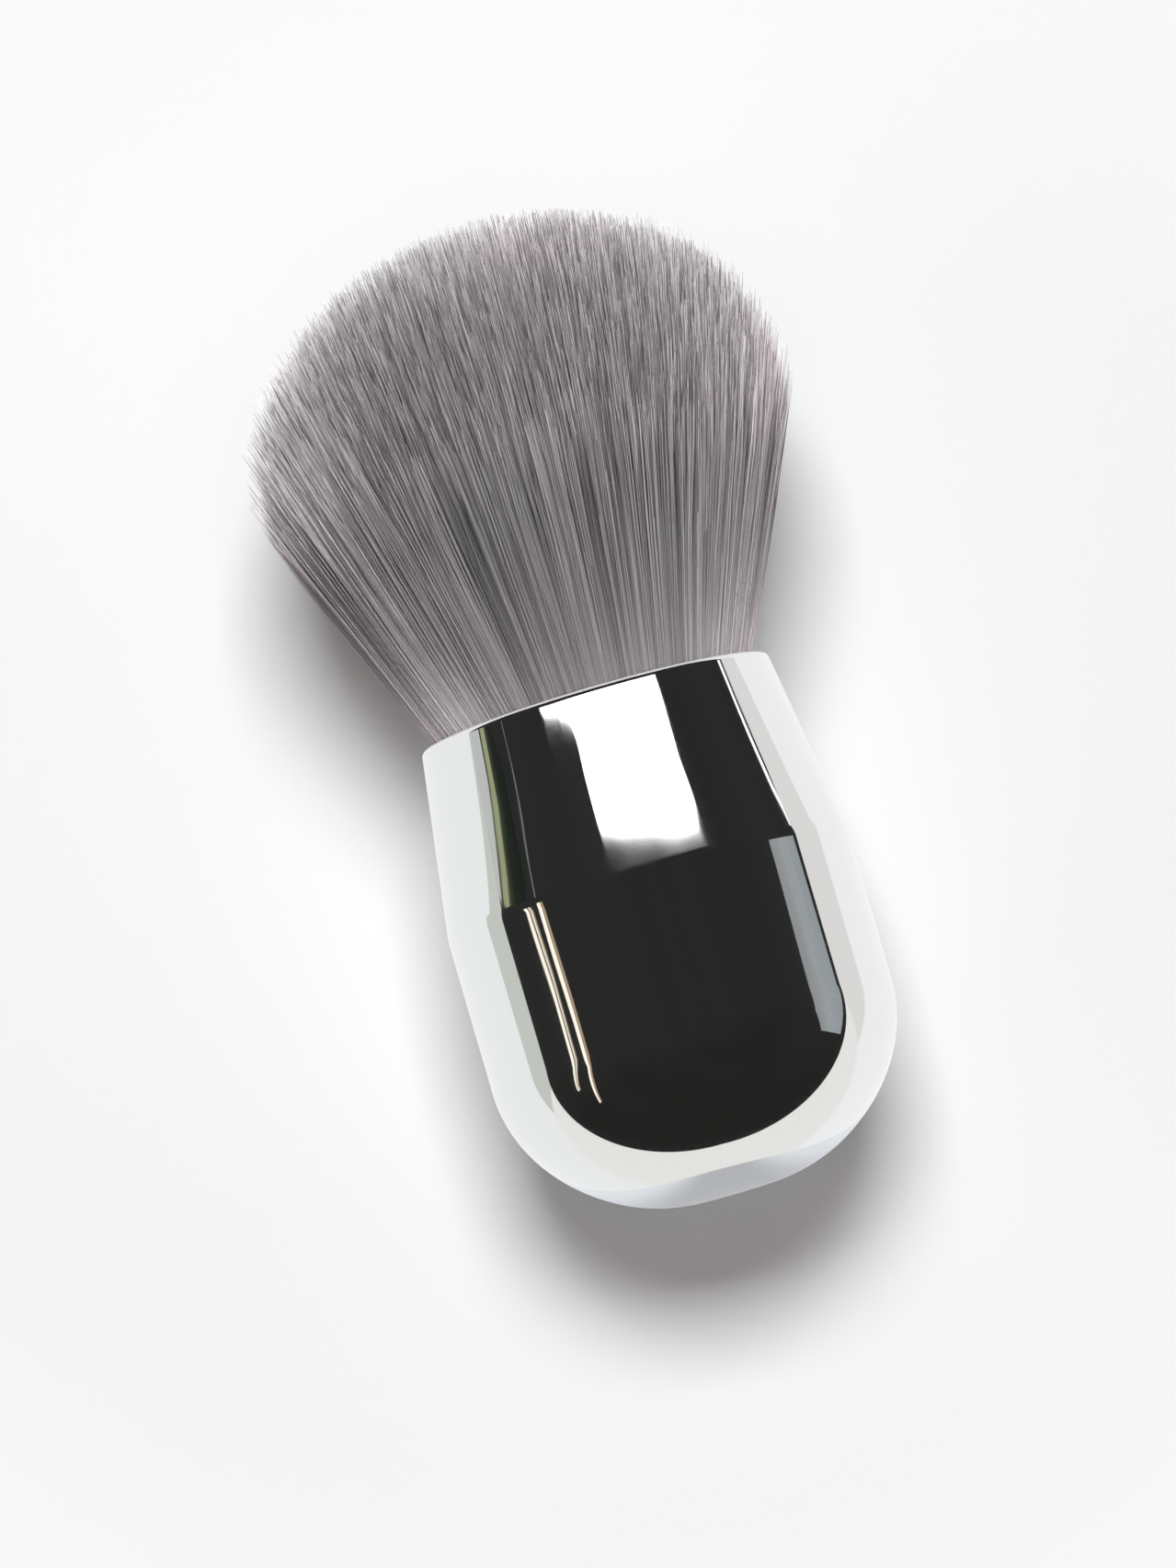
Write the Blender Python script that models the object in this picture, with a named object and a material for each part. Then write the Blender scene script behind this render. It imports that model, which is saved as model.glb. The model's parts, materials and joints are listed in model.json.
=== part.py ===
"""Kabuki-style nail dust brush: a plated cup handle with a domed end, and a flared, domed head of soft fibre.

Every piece is modelled round the brush's own axis, +Z towards the hair, with Z = 0 at the handle's rim.
One empty then lays the brush on its side, hair towards +Y, as it lies on a table."""

import math
import random

import bmesh
import bpy
from mathutils import Euler, Vector

# Fits, in metres
CLEARANCE = 0.0003

# Handle shell, from the rim down: a cone, a crease, a straight belly and a domed end with a flat foot
RIM_RADIUS = 0.0143
RIM_ROUND = 0.0006
CONE_LENGTH = 0.0150
BELLY_RADIUS = 0.01645
BELLY_LENGTH = 0.0126
DOME_DEPTH = 0.0129
FOOT_RADIUS = 0.0050
FOOT_ROUND = 0.0004
SHELL_WALL = 0.0009

# Hair head, from the rim up: a straight flare, an ease into the widest line, and a dome of tips
HAIR_RADIUS = 0.0223
FLARE_HEIGHT = 0.0172
EASE_HEIGHT = 0.0066
TIP_DOME_HEIGHT = 0.0156
SLICE_ROWS = (0, 2, 5, 8)
STRAND_ROWS = SLICE_ROWS[-1]
STRAND_FILL = 0.86
TAPER_POWER = 6
LENGTH_SPREAD = 0.0012

# Resin-set root of the hair, and the thread that binds it
ROOT_DEPTH = 0.0060
COLLAR_HEIGHT = 0.0022
WAIST_DEPTH = 0.0009
WAIST_SHOULDER = 0.0005
THREAD_WIDTH = 0.0030
TAIL_LENGTH = 0.0020

# Inner pieces
CUP_WALL = 0.0004
CUP_CORNER_ROUND = 0.0004
SLEEVE_WALL = 0.0012
FLANGE_THICKNESS = 0.0012
LEDGE_THICKNESS = 0.0012
LEDGE_HOLE_RADIUS = 0.0040
SKIRT_LENGTH = 0.0050
RIBS = 8
RIB_WIDTH = 0.0012
RIB_STOP = 0.0010
BED_THICKNESS = 0.0020
BED_WALL = 0.0010
BED_WALL_HEIGHT = 0.0045
SLUG_HEIGHT = 0.0110
SLUG_CHAMFER = 0.0006

# How the brush lies: the hair end is propped up by the hair, which the floor presses flat
LIE_TILT = math.radians(4.0)
PRESS_REACH = 0.0080
PRESS_FLAT = 0.0006

SHELL_SEGMENTS = 56
INNER_SEGMENTS = 32
SECTORS = 6
SEED = 7

# Heights of the main planes along the axis, worked out from the sizes above
HANDLE_LENGTH = CONE_LENGTH + BELLY_LENGTH + DOME_DEPTH
DOME_START = -CONE_LENGTH - BELLY_LENGTH
DOME_AXIS = DOME_DEPTH / math.sqrt(1 - (FOOT_RADIUS / BELLY_RADIUS) ** 2)
SHELL_FLOOR = -HANDLE_LENGTH + SHELL_WALL
CONE_SLOPE = (BELLY_RADIUS - RIM_RADIUS) / CONE_LENGTH
CONE_ANGLE = math.atan(CONE_SLOPE)
RIM_BORE_RADIUS = RIM_RADIUS - SHELL_WALL / math.cos(CONE_ANGLE)

WIDEST_HEIGHT = FLARE_HEIGHT + EASE_HEIGHT
RIM_HAIR_RADIUS = RIM_BORE_RADIUS - CLEARANCE
FLARE_SLOPE = (HAIR_RADIUS - RIM_HAIR_RADIUS) / (FLARE_HEIGHT + EASE_HEIGHT / 2)
ROOT_RADIUS = RIM_HAIR_RADIUS - FLARE_SLOPE * ROOT_DEPTH
COLLAR_BOTTOM = -ROOT_DEPTH - COLLAR_HEIGHT
THREAD_TOP = COLLAR_BOTTOM - WAIST_SHOULDER - CLEARANCE
ROOT_BOTTOM = THREAD_TOP - THREAD_WIDTH - TAIL_LENGTH

CUP_BORE_RADIUS = ROOT_RADIUS + CLEARANCE
CUP_RADIUS = CUP_BORE_RADIUS + CUP_WALL
CUP_BOTTOM = ROOT_BOTTOM - CLEARANCE - CUP_WALL
LEDGE_TOP = CUP_BOTTOM - CLEARANCE
SLEEVE_BOTTOM = LEDGE_TOP - LEDGE_THICKNESS - SKIRT_LENGTH

BED_BOTTOM = SHELL_FLOOR + CLEARANCE
BED_SEAT = BED_BOTTOM + BED_THICKNESS


def material(name, color, roughness, metallic):
    """A Principled material with one finish."""
    made = bpy.data.materials.new(name)
    made.use_nodes = True
    shader = made.node_tree.nodes["Principled BSDF"]
    shader.inputs["Base Color"].default_value = (*color, 1.0)
    shader.inputs["Roughness"].default_value = roughness
    shader.inputs["Metallic"].default_value = metallic
    made.diffuse_color = (*color, 1.0)
    return made


def place(name, bm, finish, stand, smooth_angle=math.radians(30)):
    """Turn a bmesh into a named object that stands under the laying-down empty."""
    mesh = bpy.data.meshes.new(name)
    bm.to_mesh(mesh)
    bm.free()
    mesh.materials.append(finish)
    mesh.shade_smooth()
    mesh.set_sharp_from_angle(angle=smooth_angle)
    piece = bpy.data.objects.new(name, mesh)
    bpy.context.scene.collection.objects.link(piece)
    piece.parent = stand
    return piece


def arc(centre, radii, start, end, steps):
    """Points of an elliptical arc in the (radius, height) half plane, angles in radians."""
    points = []
    for step in range(steps + 1):
        angle = start + (end - start) * step / steps
        radius = centre[0] + radii[0] * math.cos(angle)
        height = centre[1] + radii[1] * math.sin(angle)
        points.append((radius, height))
    return points


def corner_round(before, corner, after, radius, steps):
    """Points that round one corner of an outline with an arc tangent to both of its sides."""
    back = Vector(before) - Vector(corner)
    ahead = Vector(after) - Vector(corner)
    half = back.angle(ahead) / 2
    reach = min(radius / math.tan(half), 0.45 * back.length, 0.45 * ahead.length)
    middle = Vector(corner) + (back.normalized() + ahead.normalized()).normalized() * (
        reach / math.cos(half)
    )
    start = Vector(corner) + back.normalized() * reach - middle
    turn = start.angle_signed(Vector(corner) + ahead.normalized() * reach - middle)
    points = []
    for step in range(steps + 1):
        angle = -turn * step / steps
        spoke = Vector((
            start.x * math.cos(angle) - start.y * math.sin(angle),
            start.x * math.sin(angle) + start.y * math.cos(angle),
        ))
        points.append(tuple(middle + spoke))
    return points


def turned(name, outline, finish, stand, segments):
    """A body turned round the axis from a closed outline of (radius, height) points."""
    bm = bmesh.new()
    verts = [bm.verts.new((radius, 0.0, height)) for radius, height in outline]
    edges = [bm.edges.new((verts[i - 1], verts[i])) for i in range(len(verts))]
    on_axis = [e for e in edges if all(v.co.x < 1e-7 for v in e.verts)]
    bmesh.ops.delete(bm, geom=on_axis, context="EDGES")
    bmesh.ops.spin(
        bm,
        geom=bm.verts[:] + bm.edges[:],
        cent=(0, 0, 0),
        axis=(0, 0, 1),
        angle=2 * math.pi,
        steps=segments,
        use_merge=True,
    )
    bmesh.ops.remove_doubles(bm, verts=bm.verts[:], dist=1e-7)
    bmesh.ops.recalc_face_normals(bm, faces=bm.faces[:])
    return place(name, bm, finish, stand)


def bore_radius(height, inset=0.0):
    """Radius of the shell's cavity at a height, less an inset measured square to its wall."""
    wall = SHELL_WALL + inset
    cone = RIM_RADIUS - wall / math.cos(CONE_ANGLE) - height * CONE_SLOPE
    belly = BELLY_RADIUS - wall
    if height >= DOME_START:
        return min(cone, belly)
    share = (DOME_START - height) / (DOME_AXIS - wall)
    return belly * math.sqrt(max(0.0, 1 - share * share))


def dome_arc(inset, floor, steps):
    """Points down the domed end, inset from the outside, from its start to a flat floor."""
    belly = BELLY_RADIUS - inset
    axis = DOME_AXIS - inset
    end = math.asin((DOME_START - floor) / axis)
    return arc((0.0, DOME_START), (belly, -axis), 0.0, end, steps)


def shell_outline():
    """Half section of the handle shell: lip, cone, crease, belly, dome and flat foot, then the cavity."""
    crease = (BELLY_RADIUS, -CONE_LENGTH)
    lip = corner_round((RIM_BORE_RADIUS, 0.0), (RIM_RADIUS, 0.0), crease, RIM_ROUND, 4)
    dome = dome_arc(0.0, -HANDLE_LENGTH, 12)
    foot = corner_round(dome[-2], dome[-1], (0.0, -HANDLE_LENGTH), FOOT_ROUND, 2)
    cavity = dome_arc(SHELL_WALL, SHELL_FLOOR, 8)
    inner_crease = CONE_LENGTH + SHELL_WALL * (1 / math.cos(CONE_ANGLE) - 1) / CONE_SLOPE
    return [
        (RIM_BORE_RADIUS, 0.0),
        *lip,
        crease,
        *dome[:-1],
        *foot,
        (0.0, -HANDLE_LENGTH),
        (0.0, SHELL_FLOOR),
        *reversed(cavity),
        (BELLY_RADIUS - SHELL_WALL, -inner_crease),
    ]


def seat_radius():
    """Radius of the glue bed's dish, which leaves its wall standing inside the dome."""
    return bore_radius(BED_SEAT, CLEARANCE) - BED_WALL


def glue_bed(finish, stand):
    """The cast bed of hot-melt glue in the domed end, dished to hold the weight."""
    top = BED_SEAT + BED_WALL_HEIGHT
    below_top = [p for p in dome_arc(SHELL_WALL + CLEARANCE, BED_BOTTOM, 10) if p[1] < top]
    dish = seat_radius()
    outline = [
        (0.0, BED_SEAT),
        (dish, BED_SEAT),
        (dish, top),
        (bore_radius(top, CLEARANCE), top),
        *below_top,
        (0.0, BED_BOTTOM),
    ]
    return turned("glue_bed", outline, finish, stand, INNER_SEGMENTS)


def weight_slug(finish, stand):
    """The steel slug that gives the handle its weight, chamfered at both ends."""
    radius = seat_radius() - CLEARANCE
    bottom = BED_SEAT + CLEARANCE
    top = bottom + SLUG_HEIGHT
    outline = [
        (0.0, bottom),
        (radius - SLUG_CHAMFER, bottom),
        (radius, bottom + SLUG_CHAMFER),
        (radius, top - SLUG_CHAMFER),
        (radius - SLUG_CHAMFER, top),
        (0.0, top),
    ]
    return turned("weight_slug", outline, finish, stand, INNER_SEGMENTS)


def ribbed_ring(bm, height, tube, crest):
    """A ring of vertices round the sleeve: each rib's foot and crest on both sides, then the tube to the next."""
    half_foot = math.asin(RIB_WIDTH / 2 / tube)
    half_crest = math.asin(RIB_WIDTH / 2 / crest)
    pitch = 2 * math.pi / RIBS
    span = pitch - 2 * half_foot
    ring = []
    for rib in range(RIBS):
        spokes = [
            (tube, -half_foot),
            (crest, -half_crest),
            (crest, half_crest),
            (tube, half_foot),
            (tube, half_foot + span / 3),
            (tube, half_foot + span * 2 / 3),
        ]
        for radius, turn in spokes:
            angle = rib * pitch + turn
            ring.append(bm.verts.new((radius * math.cos(angle), radius * math.sin(angle), height)))
    return ring


def core_sleeve(finish, stand):
    """The moulded sleeve that carries the cup on a ledge, centred in the shell by a flange and ribs."""
    top = -ROOT_DEPTH
    bore = CUP_RADIUS + CLEARANCE
    tube = bore + SLEEVE_WALL
    under_flange = top - FLANGE_THICKNESS
    under_ledge = LEDGE_TOP - LEDGE_THICKNESS
    rib_end = SLEEVE_BOTTOM + RIB_STOP
    rib_heights = [under_flange, rib_end]
    if rib_end < -CONE_LENGTH < under_flange:
        rib_heights.insert(1, -CONE_LENGTH)

    bm = bmesh.new()
    rings = []
    for height in (top, under_flange):
        flange = bore_radius(height, CLEARANCE)
        rings.append(ribbed_ring(bm, height, flange, flange))
    for height in rib_heights:
        rings.append(ribbed_ring(bm, height, tube, bore_radius(height, CLEARANCE)))
    plain = (
        (rib_end, tube),
        (SLEEVE_BOTTOM, tube),
        (SLEEVE_BOTTOM, bore),
        (under_ledge, bore),
        (under_ledge, LEDGE_HOLE_RADIUS),
        (LEDGE_TOP, LEDGE_HOLE_RADIUS),
        (LEDGE_TOP, bore),
        (top, bore),
    )
    for height, radius in plain:
        rings.append(ribbed_ring(bm, height, radius, radius))
    for above, below in zip(rings, rings[1:] + rings[:1]):
        for i in range(len(above)):
            bm.faces.new((above[i - 1], above[i], below[i], below[i - 1]))
    bmesh.ops.remove_doubles(bm, verts=bm.verts[:], dist=1e-7)
    bmesh.ops.recalc_face_normals(bm, faces=bm.faces[:])
    return place("core_sleeve", bm, finish, stand)


def knot_cup(finish, stand):
    """The drawn aluminium cup that holds the hair's resin-set root."""
    lip = -ROOT_DEPTH
    corner = corner_round(
        (CUP_RADIUS, lip), (CUP_RADIUS, CUP_BOTTOM), (0.0, CUP_BOTTOM), CUP_CORNER_ROUND, 3
    )
    outline = [
        (CUP_BORE_RADIUS, lip),
        (CUP_RADIUS, lip),
        *corner,
        (0.0, CUP_BOTTOM),
        (0.0, CUP_BOTTOM + CUP_WALL),
        (CUP_BORE_RADIUS, CUP_BOTTOM + CUP_WALL),
    ]
    return turned("knot_cup", outline, finish, stand, INNER_SEGMENTS)


def binding_thread(finish, stand):
    """The band of thread wound round the root's waist, flush with its collar."""
    bottom = THREAD_TOP - THREAD_WIDTH
    inner = ROOT_RADIUS - WAIST_DEPTH + CLEARANCE
    crown = (ROOT_RADIUS - inner) / 2
    middle = (ROOT_RADIUS - crown, (THREAD_TOP + bottom) / 2)
    bulge = arc(middle, (crown, THREAD_WIDTH / 2), math.pi / 2, -math.pi / 2, 6)
    outline = [(inner, bottom), (inner, THREAD_TOP), *bulge]
    return turned("binding_thread", outline, finish, stand, INNER_SEGMENTS)


def head_radius(height):
    """Outline of the hair: a straight flare from the root, eased into its widest line."""
    if height >= WIDEST_HEIGHT:
        return HAIR_RADIUS
    radius = RIM_HAIR_RADIUS + FLARE_SLOPE * height
    if height > FLARE_HEIGHT:
        radius -= FLARE_SLOPE * (height - FLARE_HEIGHT) ** 2 / (2 * EASE_HEIGHT)
    return radius


def floor_drop():
    """How far the table lies below the axis at the rim, square to the table, with the handle on it."""
    reach = [
        radius * math.cos(LIE_TILT) - height * math.sin(LIE_TILT)
        for radius, height in shell_outline()
    ]
    return max(reach)


def floor_depth(height):
    """How far below the axis, square to it, the table lies at a height along the axis."""
    return (floor_drop() + height * math.sin(LIE_TILT)) / math.cos(LIE_TILT)


def pressed(x, y, height):
    """Where the table moves a point of the hair: +Y is down, and order is kept, so no strand crosses."""
    spare = head_radius(height) - floor_depth(height) - PRESS_FLAT
    start = head_radius(height) - PRESS_REACH
    if spare > 0 and y > start:
        y -= spare * ((y - start) / PRESS_REACH) ** 2
    return x, min(y, floor_depth(height)), height


def lattice(row, sector, step):
    """Root lattice point: a row's share of the radius, and its turn round the axis."""
    if row == 0:
        return 0.0, 0.0
    return row / STRAND_ROWS, 2 * math.pi * (sector + step / row) / SECTORS


def cells(row, sector):
    """The triangles between one row and the next inner one, in one sector, as lattice keys."""
    found = []
    for step in range(row):
        found.append(((row, step), (row, step + 1), (row - 1, step)))
        if step < row - 1:
            found.append(((row, step + 1), (row - 1, step + 1), (row - 1, step)))
    return found


def shrunk(share, turn, row, sector, rows, whole_ring):
    """A root lattice point as shares of the radius, drawn in by half a gap at its slice's sides."""
    half = CLEARANCE / 2 / ROOT_RADIUS
    if row == rows[0] and row > 0:
        share += half
    if row == rows[1] and row < STRAND_ROWS:
        share -= half
    x, y = share * math.cos(turn), share * math.sin(turn)
    if whole_ring:
        return x, y
    for edge, side in ((sector, 1), (sector + 1, -1)):
        angle = 2 * math.pi * edge / SECTORS
        across = (-math.sin(angle) * side, math.cos(angle) * side)
        lies = x * across[0] + y * across[1]
        if lies < half:
            x += (half - lies) * across[0]
            y += (half - lies) * across[1]
    return x, y


def strand_rings(corners, reach, chance):
    """Levels of one strand: its three corners at each height, drawn in as it tapers, and its tip."""
    centre = (sum(c[0] for c in corners) / 3, sum(c[1] for c in corners) / 3)
    share = min(0.999, math.hypot(*centre))
    dome_height = WIDEST_HEIGHT + TIP_DOME_HEIGHT * math.sqrt(1 - share * share)
    tip_height = dome_height - reach * chance.random()
    rings = []
    for height in (0.0, FLARE_HEIGHT, WIDEST_HEIGHT):
        along = (height + ROOT_DEPTH) / (dome_height + ROOT_DEPTH)
        keep = STRAND_FILL * (1 - along**TAPER_POWER)
        radius = head_radius(height)
        ring = []
        for corner in corners:
            x = (centre[0] + (corner[0] - centre[0]) * keep) * radius
            y = (centre[1] + (corner[1] - centre[1]) * keep) * radius
            ring.append(pressed(x, y, height))
        rings.append(ring)
    radius = head_radius(tip_height)
    tip = pressed(centre[0] * radius, centre[1] * radius, tip_height)
    return rings, tip


def tuft(name, rows, sectors, finish, stand):
    """One slice of the resin-set root with its strands: each root cell is drawn out into a strand."""
    bm = bmesh.new()
    chance = random.Random(f"{SEED} {name}")
    whole_ring = len(sectors) == SECTORS
    points, spots = {}, {}

    def root(row, sector, step):
        share, turn = lattice(row, sector, step)
        key = (row, round(turn * row * SECTORS / (2 * math.pi)) % max(1, row * SECTORS))
        if key not in points:
            spot = shrunk(share, turn, row, sector, rows, whole_ring)
            spots[key] = spot
            points[key] = bm.verts.new((spot[0] * ROOT_RADIUS, spot[1] * ROOT_RADIUS, -ROOT_DEPTH))
        return key

    for sector in sectors:
        for row in range(rows[0] + 1, rows[1] + 1):
            for cell in cells(row, sector):
                keys = [root(r, sector, s) for r, s in cell]
                rings, tip = strand_rings([spots[k] for k in keys], LENGTH_SPREAD, chance)
                lower = [points[k] for k in keys]
                for ring in rings:
                    upper = [bm.verts.new(p) for p in ring]
                    for i in range(3):
                        bm.faces.new((lower[i - 1], lower[i], upper[i], upper[i - 1]))
                    lower = upper
                point = bm.verts.new(tip)
                for i in range(3):
                    bm.faces.new((lower[i - 1], lower[i], point))
    slice_block(bm, points, rows)
    bmesh.ops.recalc_face_normals(bm, faces=bm.faces[:])
    return place(name, bm, finish, stand, math.radians(50))


def slice_block(bm, points, rows):
    """The slice's body below its root cells, drawn in to the thread's waist in an outer slice."""
    ring = [e for e in bm.edges if len(e.link_faces) == 1]
    on_outside = {v for key, v in points.items() if key[0] == STRAND_ROWS}
    levels = [(ROOT_BOTTOM, ROOT_RADIUS)]
    if rows[1] == STRAND_ROWS:
        waist = ROOT_RADIUS - WAIST_DEPTH
        levels = [
            (COLLAR_BOTTOM, ROOT_RADIUS),
            (COLLAR_BOTTOM - WAIST_SHOULDER, waist),
            (ROOT_BOTTOM, waist),
        ]
    for height, radius in levels:
        made = bmesh.ops.extrude_edge_only(bm, edges=ring)["geom"]
        new_verts = {g for g in made if isinstance(g, bmesh.types.BMVert)}
        new_edges = [g for g in made if isinstance(g, bmesh.types.BMEdge)]
        ring = [e for e in new_edges if e.verts[0] in new_verts and e.verts[1] in new_verts]
        on_outside = {
            v for v in new_verts if any(e.other_vert(v) in on_outside for e in v.link_edges)
        }
        for vert in new_verts:
            vert.co.z = height
        for vert in on_outside:
            vert.co.xy = vert.co.xy.normalized() * radius
    bmesh.ops.contextual_create(bm, geom=ring)


def finishes():
    """One Principled material for each stuff that the brush is made of."""
    return {
        "chrome": ((0.82, 0.83, 0.83), 0.06, 1.0),
        "aluminium": ((0.70, 0.71, 0.72), 0.32, 1.0),
        "steel": ((0.48, 0.48, 0.49), 0.42, 1.0),
        "moulding": ((0.055, 0.055, 0.058), 0.50, 0.0),
        "glue": ((0.62, 0.56, 0.42), 0.35, 0.0),
        "thread": ((0.70, 0.66, 0.58), 0.85, 0.0),
        "fibre": ((0.27, 0.235, 0.238), 0.60, 0.0),
    }


def lay_down(stand, pieces):
    """Tilt the brush on to its side and bring the bottom centre of its box to the origin."""
    stand.rotation_euler = Euler((LIE_TILT - math.pi / 2, 0.0, 0.0))
    turn = stand.rotation_euler.to_matrix()
    corners = [turn @ v.co for piece in pieces for v in piece.data.vertices]
    low = [min(c[axis] for c in corners) for axis in range(3)]
    high = [max(c[axis] for c in corners) for axis in range(3)]
    stand.location = (-(low[0] + high[0]) / 2, -(low[1] + high[1]) / 2, -low[2])


def brush():
    """Build the whole brush and lay it on the table."""
    for old in list(bpy.data.objects):
        bpy.data.objects.remove(old, do_unlink=True)
    stand = bpy.data.objects.new("brush_axis", None)
    bpy.context.scene.collection.objects.link(stand)
    stuff = {name: material(name, *values) for name, values in finishes().items()}

    pieces = [
        turned("handle_shell", shell_outline(), stuff["chrome"], stand, SHELL_SEGMENTS),
        glue_bed(stuff["glue"], stand),
        weight_slug(stuff["steel"], stand),
        core_sleeve(stuff["moulding"], stand),
        knot_cup(stuff["aluminium"], stand),
        binding_thread(stuff["thread"], stand),
        tuft("tuft_centre", SLICE_ROWS[0:2], range(SECTORS), stuff["fibre"], stand),
    ]
    for ring, rows in (("mid", SLICE_ROWS[1:3]), ("outer", SLICE_ROWS[2:4])):
        for sector in range(SECTORS):
            name = f"tuft_{ring}_{sector + 1}"
            pieces.append(tuft(name, rows, [sector], stuff["fibre"], stand))
    lay_down(stand, pieces)
    bpy.context.view_layer.update()
    foot = stand.matrix_world @ Vector((0.0, 0.0, -HANDLE_LENGTH))
    axis = stand.matrix_world.to_3x3() @ Vector((0.0, 0.0, 1.0))
    strands = SECTORS * STRAND_ROWS**2
    triangles = sum(len(f.vertices) - 2 for p in pieces for f in p.data.polygons)
    print(f"foot centre {tuple(round(v, 6) for v in foot)}, axis {tuple(round(v, 5) for v in axis)}")
    print(f"{len(pieces)} pieces, {strands} strands, {triangles} triangles")


brush()
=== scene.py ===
# %% [markdown]
# A nail dust brush, dressed for its picture
#
# The brush has a chromed cup for a handle and one big, soft, domed head of fibre, and lies on its side on
# a white sheet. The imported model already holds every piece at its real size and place, so this lesson
# only adds the looks: a mirror finish on a smooth shell, tens of thousands of fine strands in place of a
# few hundred thick ones, and the white sheet, dark room and lamps that the mirror shows.
#
# Everything is in metres: +Z is up, and +Y runs along the brush to its hair.

import json
import math

import bmesh
import bpy
from mathutils import Matrix, Vector


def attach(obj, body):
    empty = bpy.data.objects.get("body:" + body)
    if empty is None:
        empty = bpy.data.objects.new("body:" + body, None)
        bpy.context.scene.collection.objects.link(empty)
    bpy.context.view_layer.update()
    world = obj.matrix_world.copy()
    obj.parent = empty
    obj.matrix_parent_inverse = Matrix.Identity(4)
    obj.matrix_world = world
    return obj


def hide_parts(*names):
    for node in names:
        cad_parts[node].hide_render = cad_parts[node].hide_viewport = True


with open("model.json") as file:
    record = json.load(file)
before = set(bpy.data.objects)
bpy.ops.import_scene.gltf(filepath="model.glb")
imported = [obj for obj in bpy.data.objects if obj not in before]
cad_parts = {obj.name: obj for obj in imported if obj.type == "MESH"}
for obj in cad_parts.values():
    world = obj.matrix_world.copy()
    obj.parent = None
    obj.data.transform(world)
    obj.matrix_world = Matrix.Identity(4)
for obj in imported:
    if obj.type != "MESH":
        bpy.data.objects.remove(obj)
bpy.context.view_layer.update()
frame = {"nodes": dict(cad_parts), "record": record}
print("nodes:", ", ".join(sorted(frame["nodes"])))

# %% [markdown]
# Where the brush is
#
# Every piece is turned round one axis, so each is made upright round its own +Z, with zero at the
# handle's rim, and then laid down with one matrix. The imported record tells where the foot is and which
# way it faces, and that is all it takes.

# %% The matrix that lays a piece down
HANDLE_LENGTH = 0.0405

foot_mount = frame["record"]["mounts"][0]
axis = -Vector(foot_mount["axis"]).normalized()
rim_centre = Vector(foot_mount["pos_m"]) + axis * HANDLE_LENGTH
LIE_TILT = math.asin(axis.z)
LAY_DOWN = Matrix.Translation(rim_centre) @ Matrix.Rotation(LIE_TILT - math.pi / 2, 4, "X")
centre_mm = tuple(round(c * 1000, 2) for c in rim_centre)
print(f"rim centre {centre_mm} mm, tilt {math.degrees(LIE_TILT):.2f} degrees")

# %% [markdown]
# The camera
#
# The photograph looks down on the brush from almost straight above, a little from the handle's end, and
# turned so that the brush leans to the left. A long lens keeps the perspective as weak as it is there.
# Two things were measured in it: where the rim's centre is, and how many pixels a metre takes there.
# The camera's place follows from those.

# %% Camera from measured pixels
PICTURE = (1279, 1706)
RIM_PIXEL = (646.5, 765.4)
PIXELS_PER_METRE = 13670.0
CAMERA_DISTANCE = 0.60
CAMERA_TURN = math.radians(16.3)
CAMERA_LEAN = math.radians(9.3)
SENSOR = 36.0


def into_scene(name, data):
    """An object that holds this data, linked into the scene."""
    made = bpy.data.objects.new(name, data)
    bpy.context.scene.collection.objects.link(made)
    return made


level_up = Vector((math.sin(CAMERA_TURN), math.cos(CAMERA_TURN), 0.0))
right = Vector((math.cos(CAMERA_TURN), -math.sin(CAMERA_TURN), 0.0))
ahead = level_up * math.sin(CAMERA_LEAN) - Vector((0.0, 0.0, math.cos(CAMERA_LEAN)))
upward = right.cross(ahead)
from_middle = (RIM_PIXEL[0] - PICTURE[0] / 2, RIM_PIXEL[1] - PICTURE[1] / 2)

camera_data = bpy.data.cameras.new("camera")
camera_data.sensor_fit = "VERTICAL"
camera_data.sensor_height = SENSOR
camera_data.lens = PIXELS_PER_METRE * CAMERA_DISTANCE / PICTURE[1] * SENSOR
camera_data.clip_start = 0.01
camera_data.clip_end = 20.0
camera = into_scene("camera", camera_data)
camera.matrix_world = Matrix((right, upward, -ahead)).transposed().to_4x4()
camera.location = (
    rim_centre
    - ahead * CAMERA_DISTANCE
    - right * from_middle[0] / PIXELS_PER_METRE
    + upward * from_middle[1] / PIXELS_PER_METRE
)
bpy.context.scene.camera = camera
bpy.context.scene.view_settings.view_transform = "Standard"
print(f"lens {camera_data.lens:.0f} mm, camera at {tuple(round(c, 3) for c in camera.location)}")

# %% [markdown]
# A few small helpers for node trees
#
# Materials, the floor and the strands are all node trees, and a node written out in full takes four or
# five lines. `add` makes one, sets its options and fills its inputs: a socket is linked, and a plain
# value is typed in. The node goes into the tree that was begun last. `calc` does the same for one sum,
# and `ramp` takes a value from one range to another.

# %% Node helpers
trees = []


def fill(node, inputs):
    """Fill inputs, given by name or number, with sockets to link or with plain values."""
    for key, value in inputs.items():
        if isinstance(value, bpy.types.NodeSocket):
            node.id_data.links.new(value, node.inputs[key])
        else:
            node.inputs[key].default_value = value


def add(kind, inputs=None, **options):
    """Add one node, with its options and inputs, to the tree begun last."""
    node = trees[-1].nodes.new(kind)
    for name, value in options.items():
        setattr(node, name, value)
    fill(node, inputs or {})
    return node


def out(kind, inputs=None, **options):
    """Add one node and return its first output."""
    return add(kind, inputs, **options).outputs[0]


def calc(operation, *values):
    """Add one Math node and return its result."""
    return out("ShaderNodeMath", dict(enumerate(values)), operation=operation)


print("add, out and calc make nodes")


# %% Sums, ramps and colours
def times(first, second):
    """The product of two values."""
    return calc("MULTIPLY", first, second)


def minus(first, second):
    """The first value less the second."""
    return calc("SUBTRACT", first, second)


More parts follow.
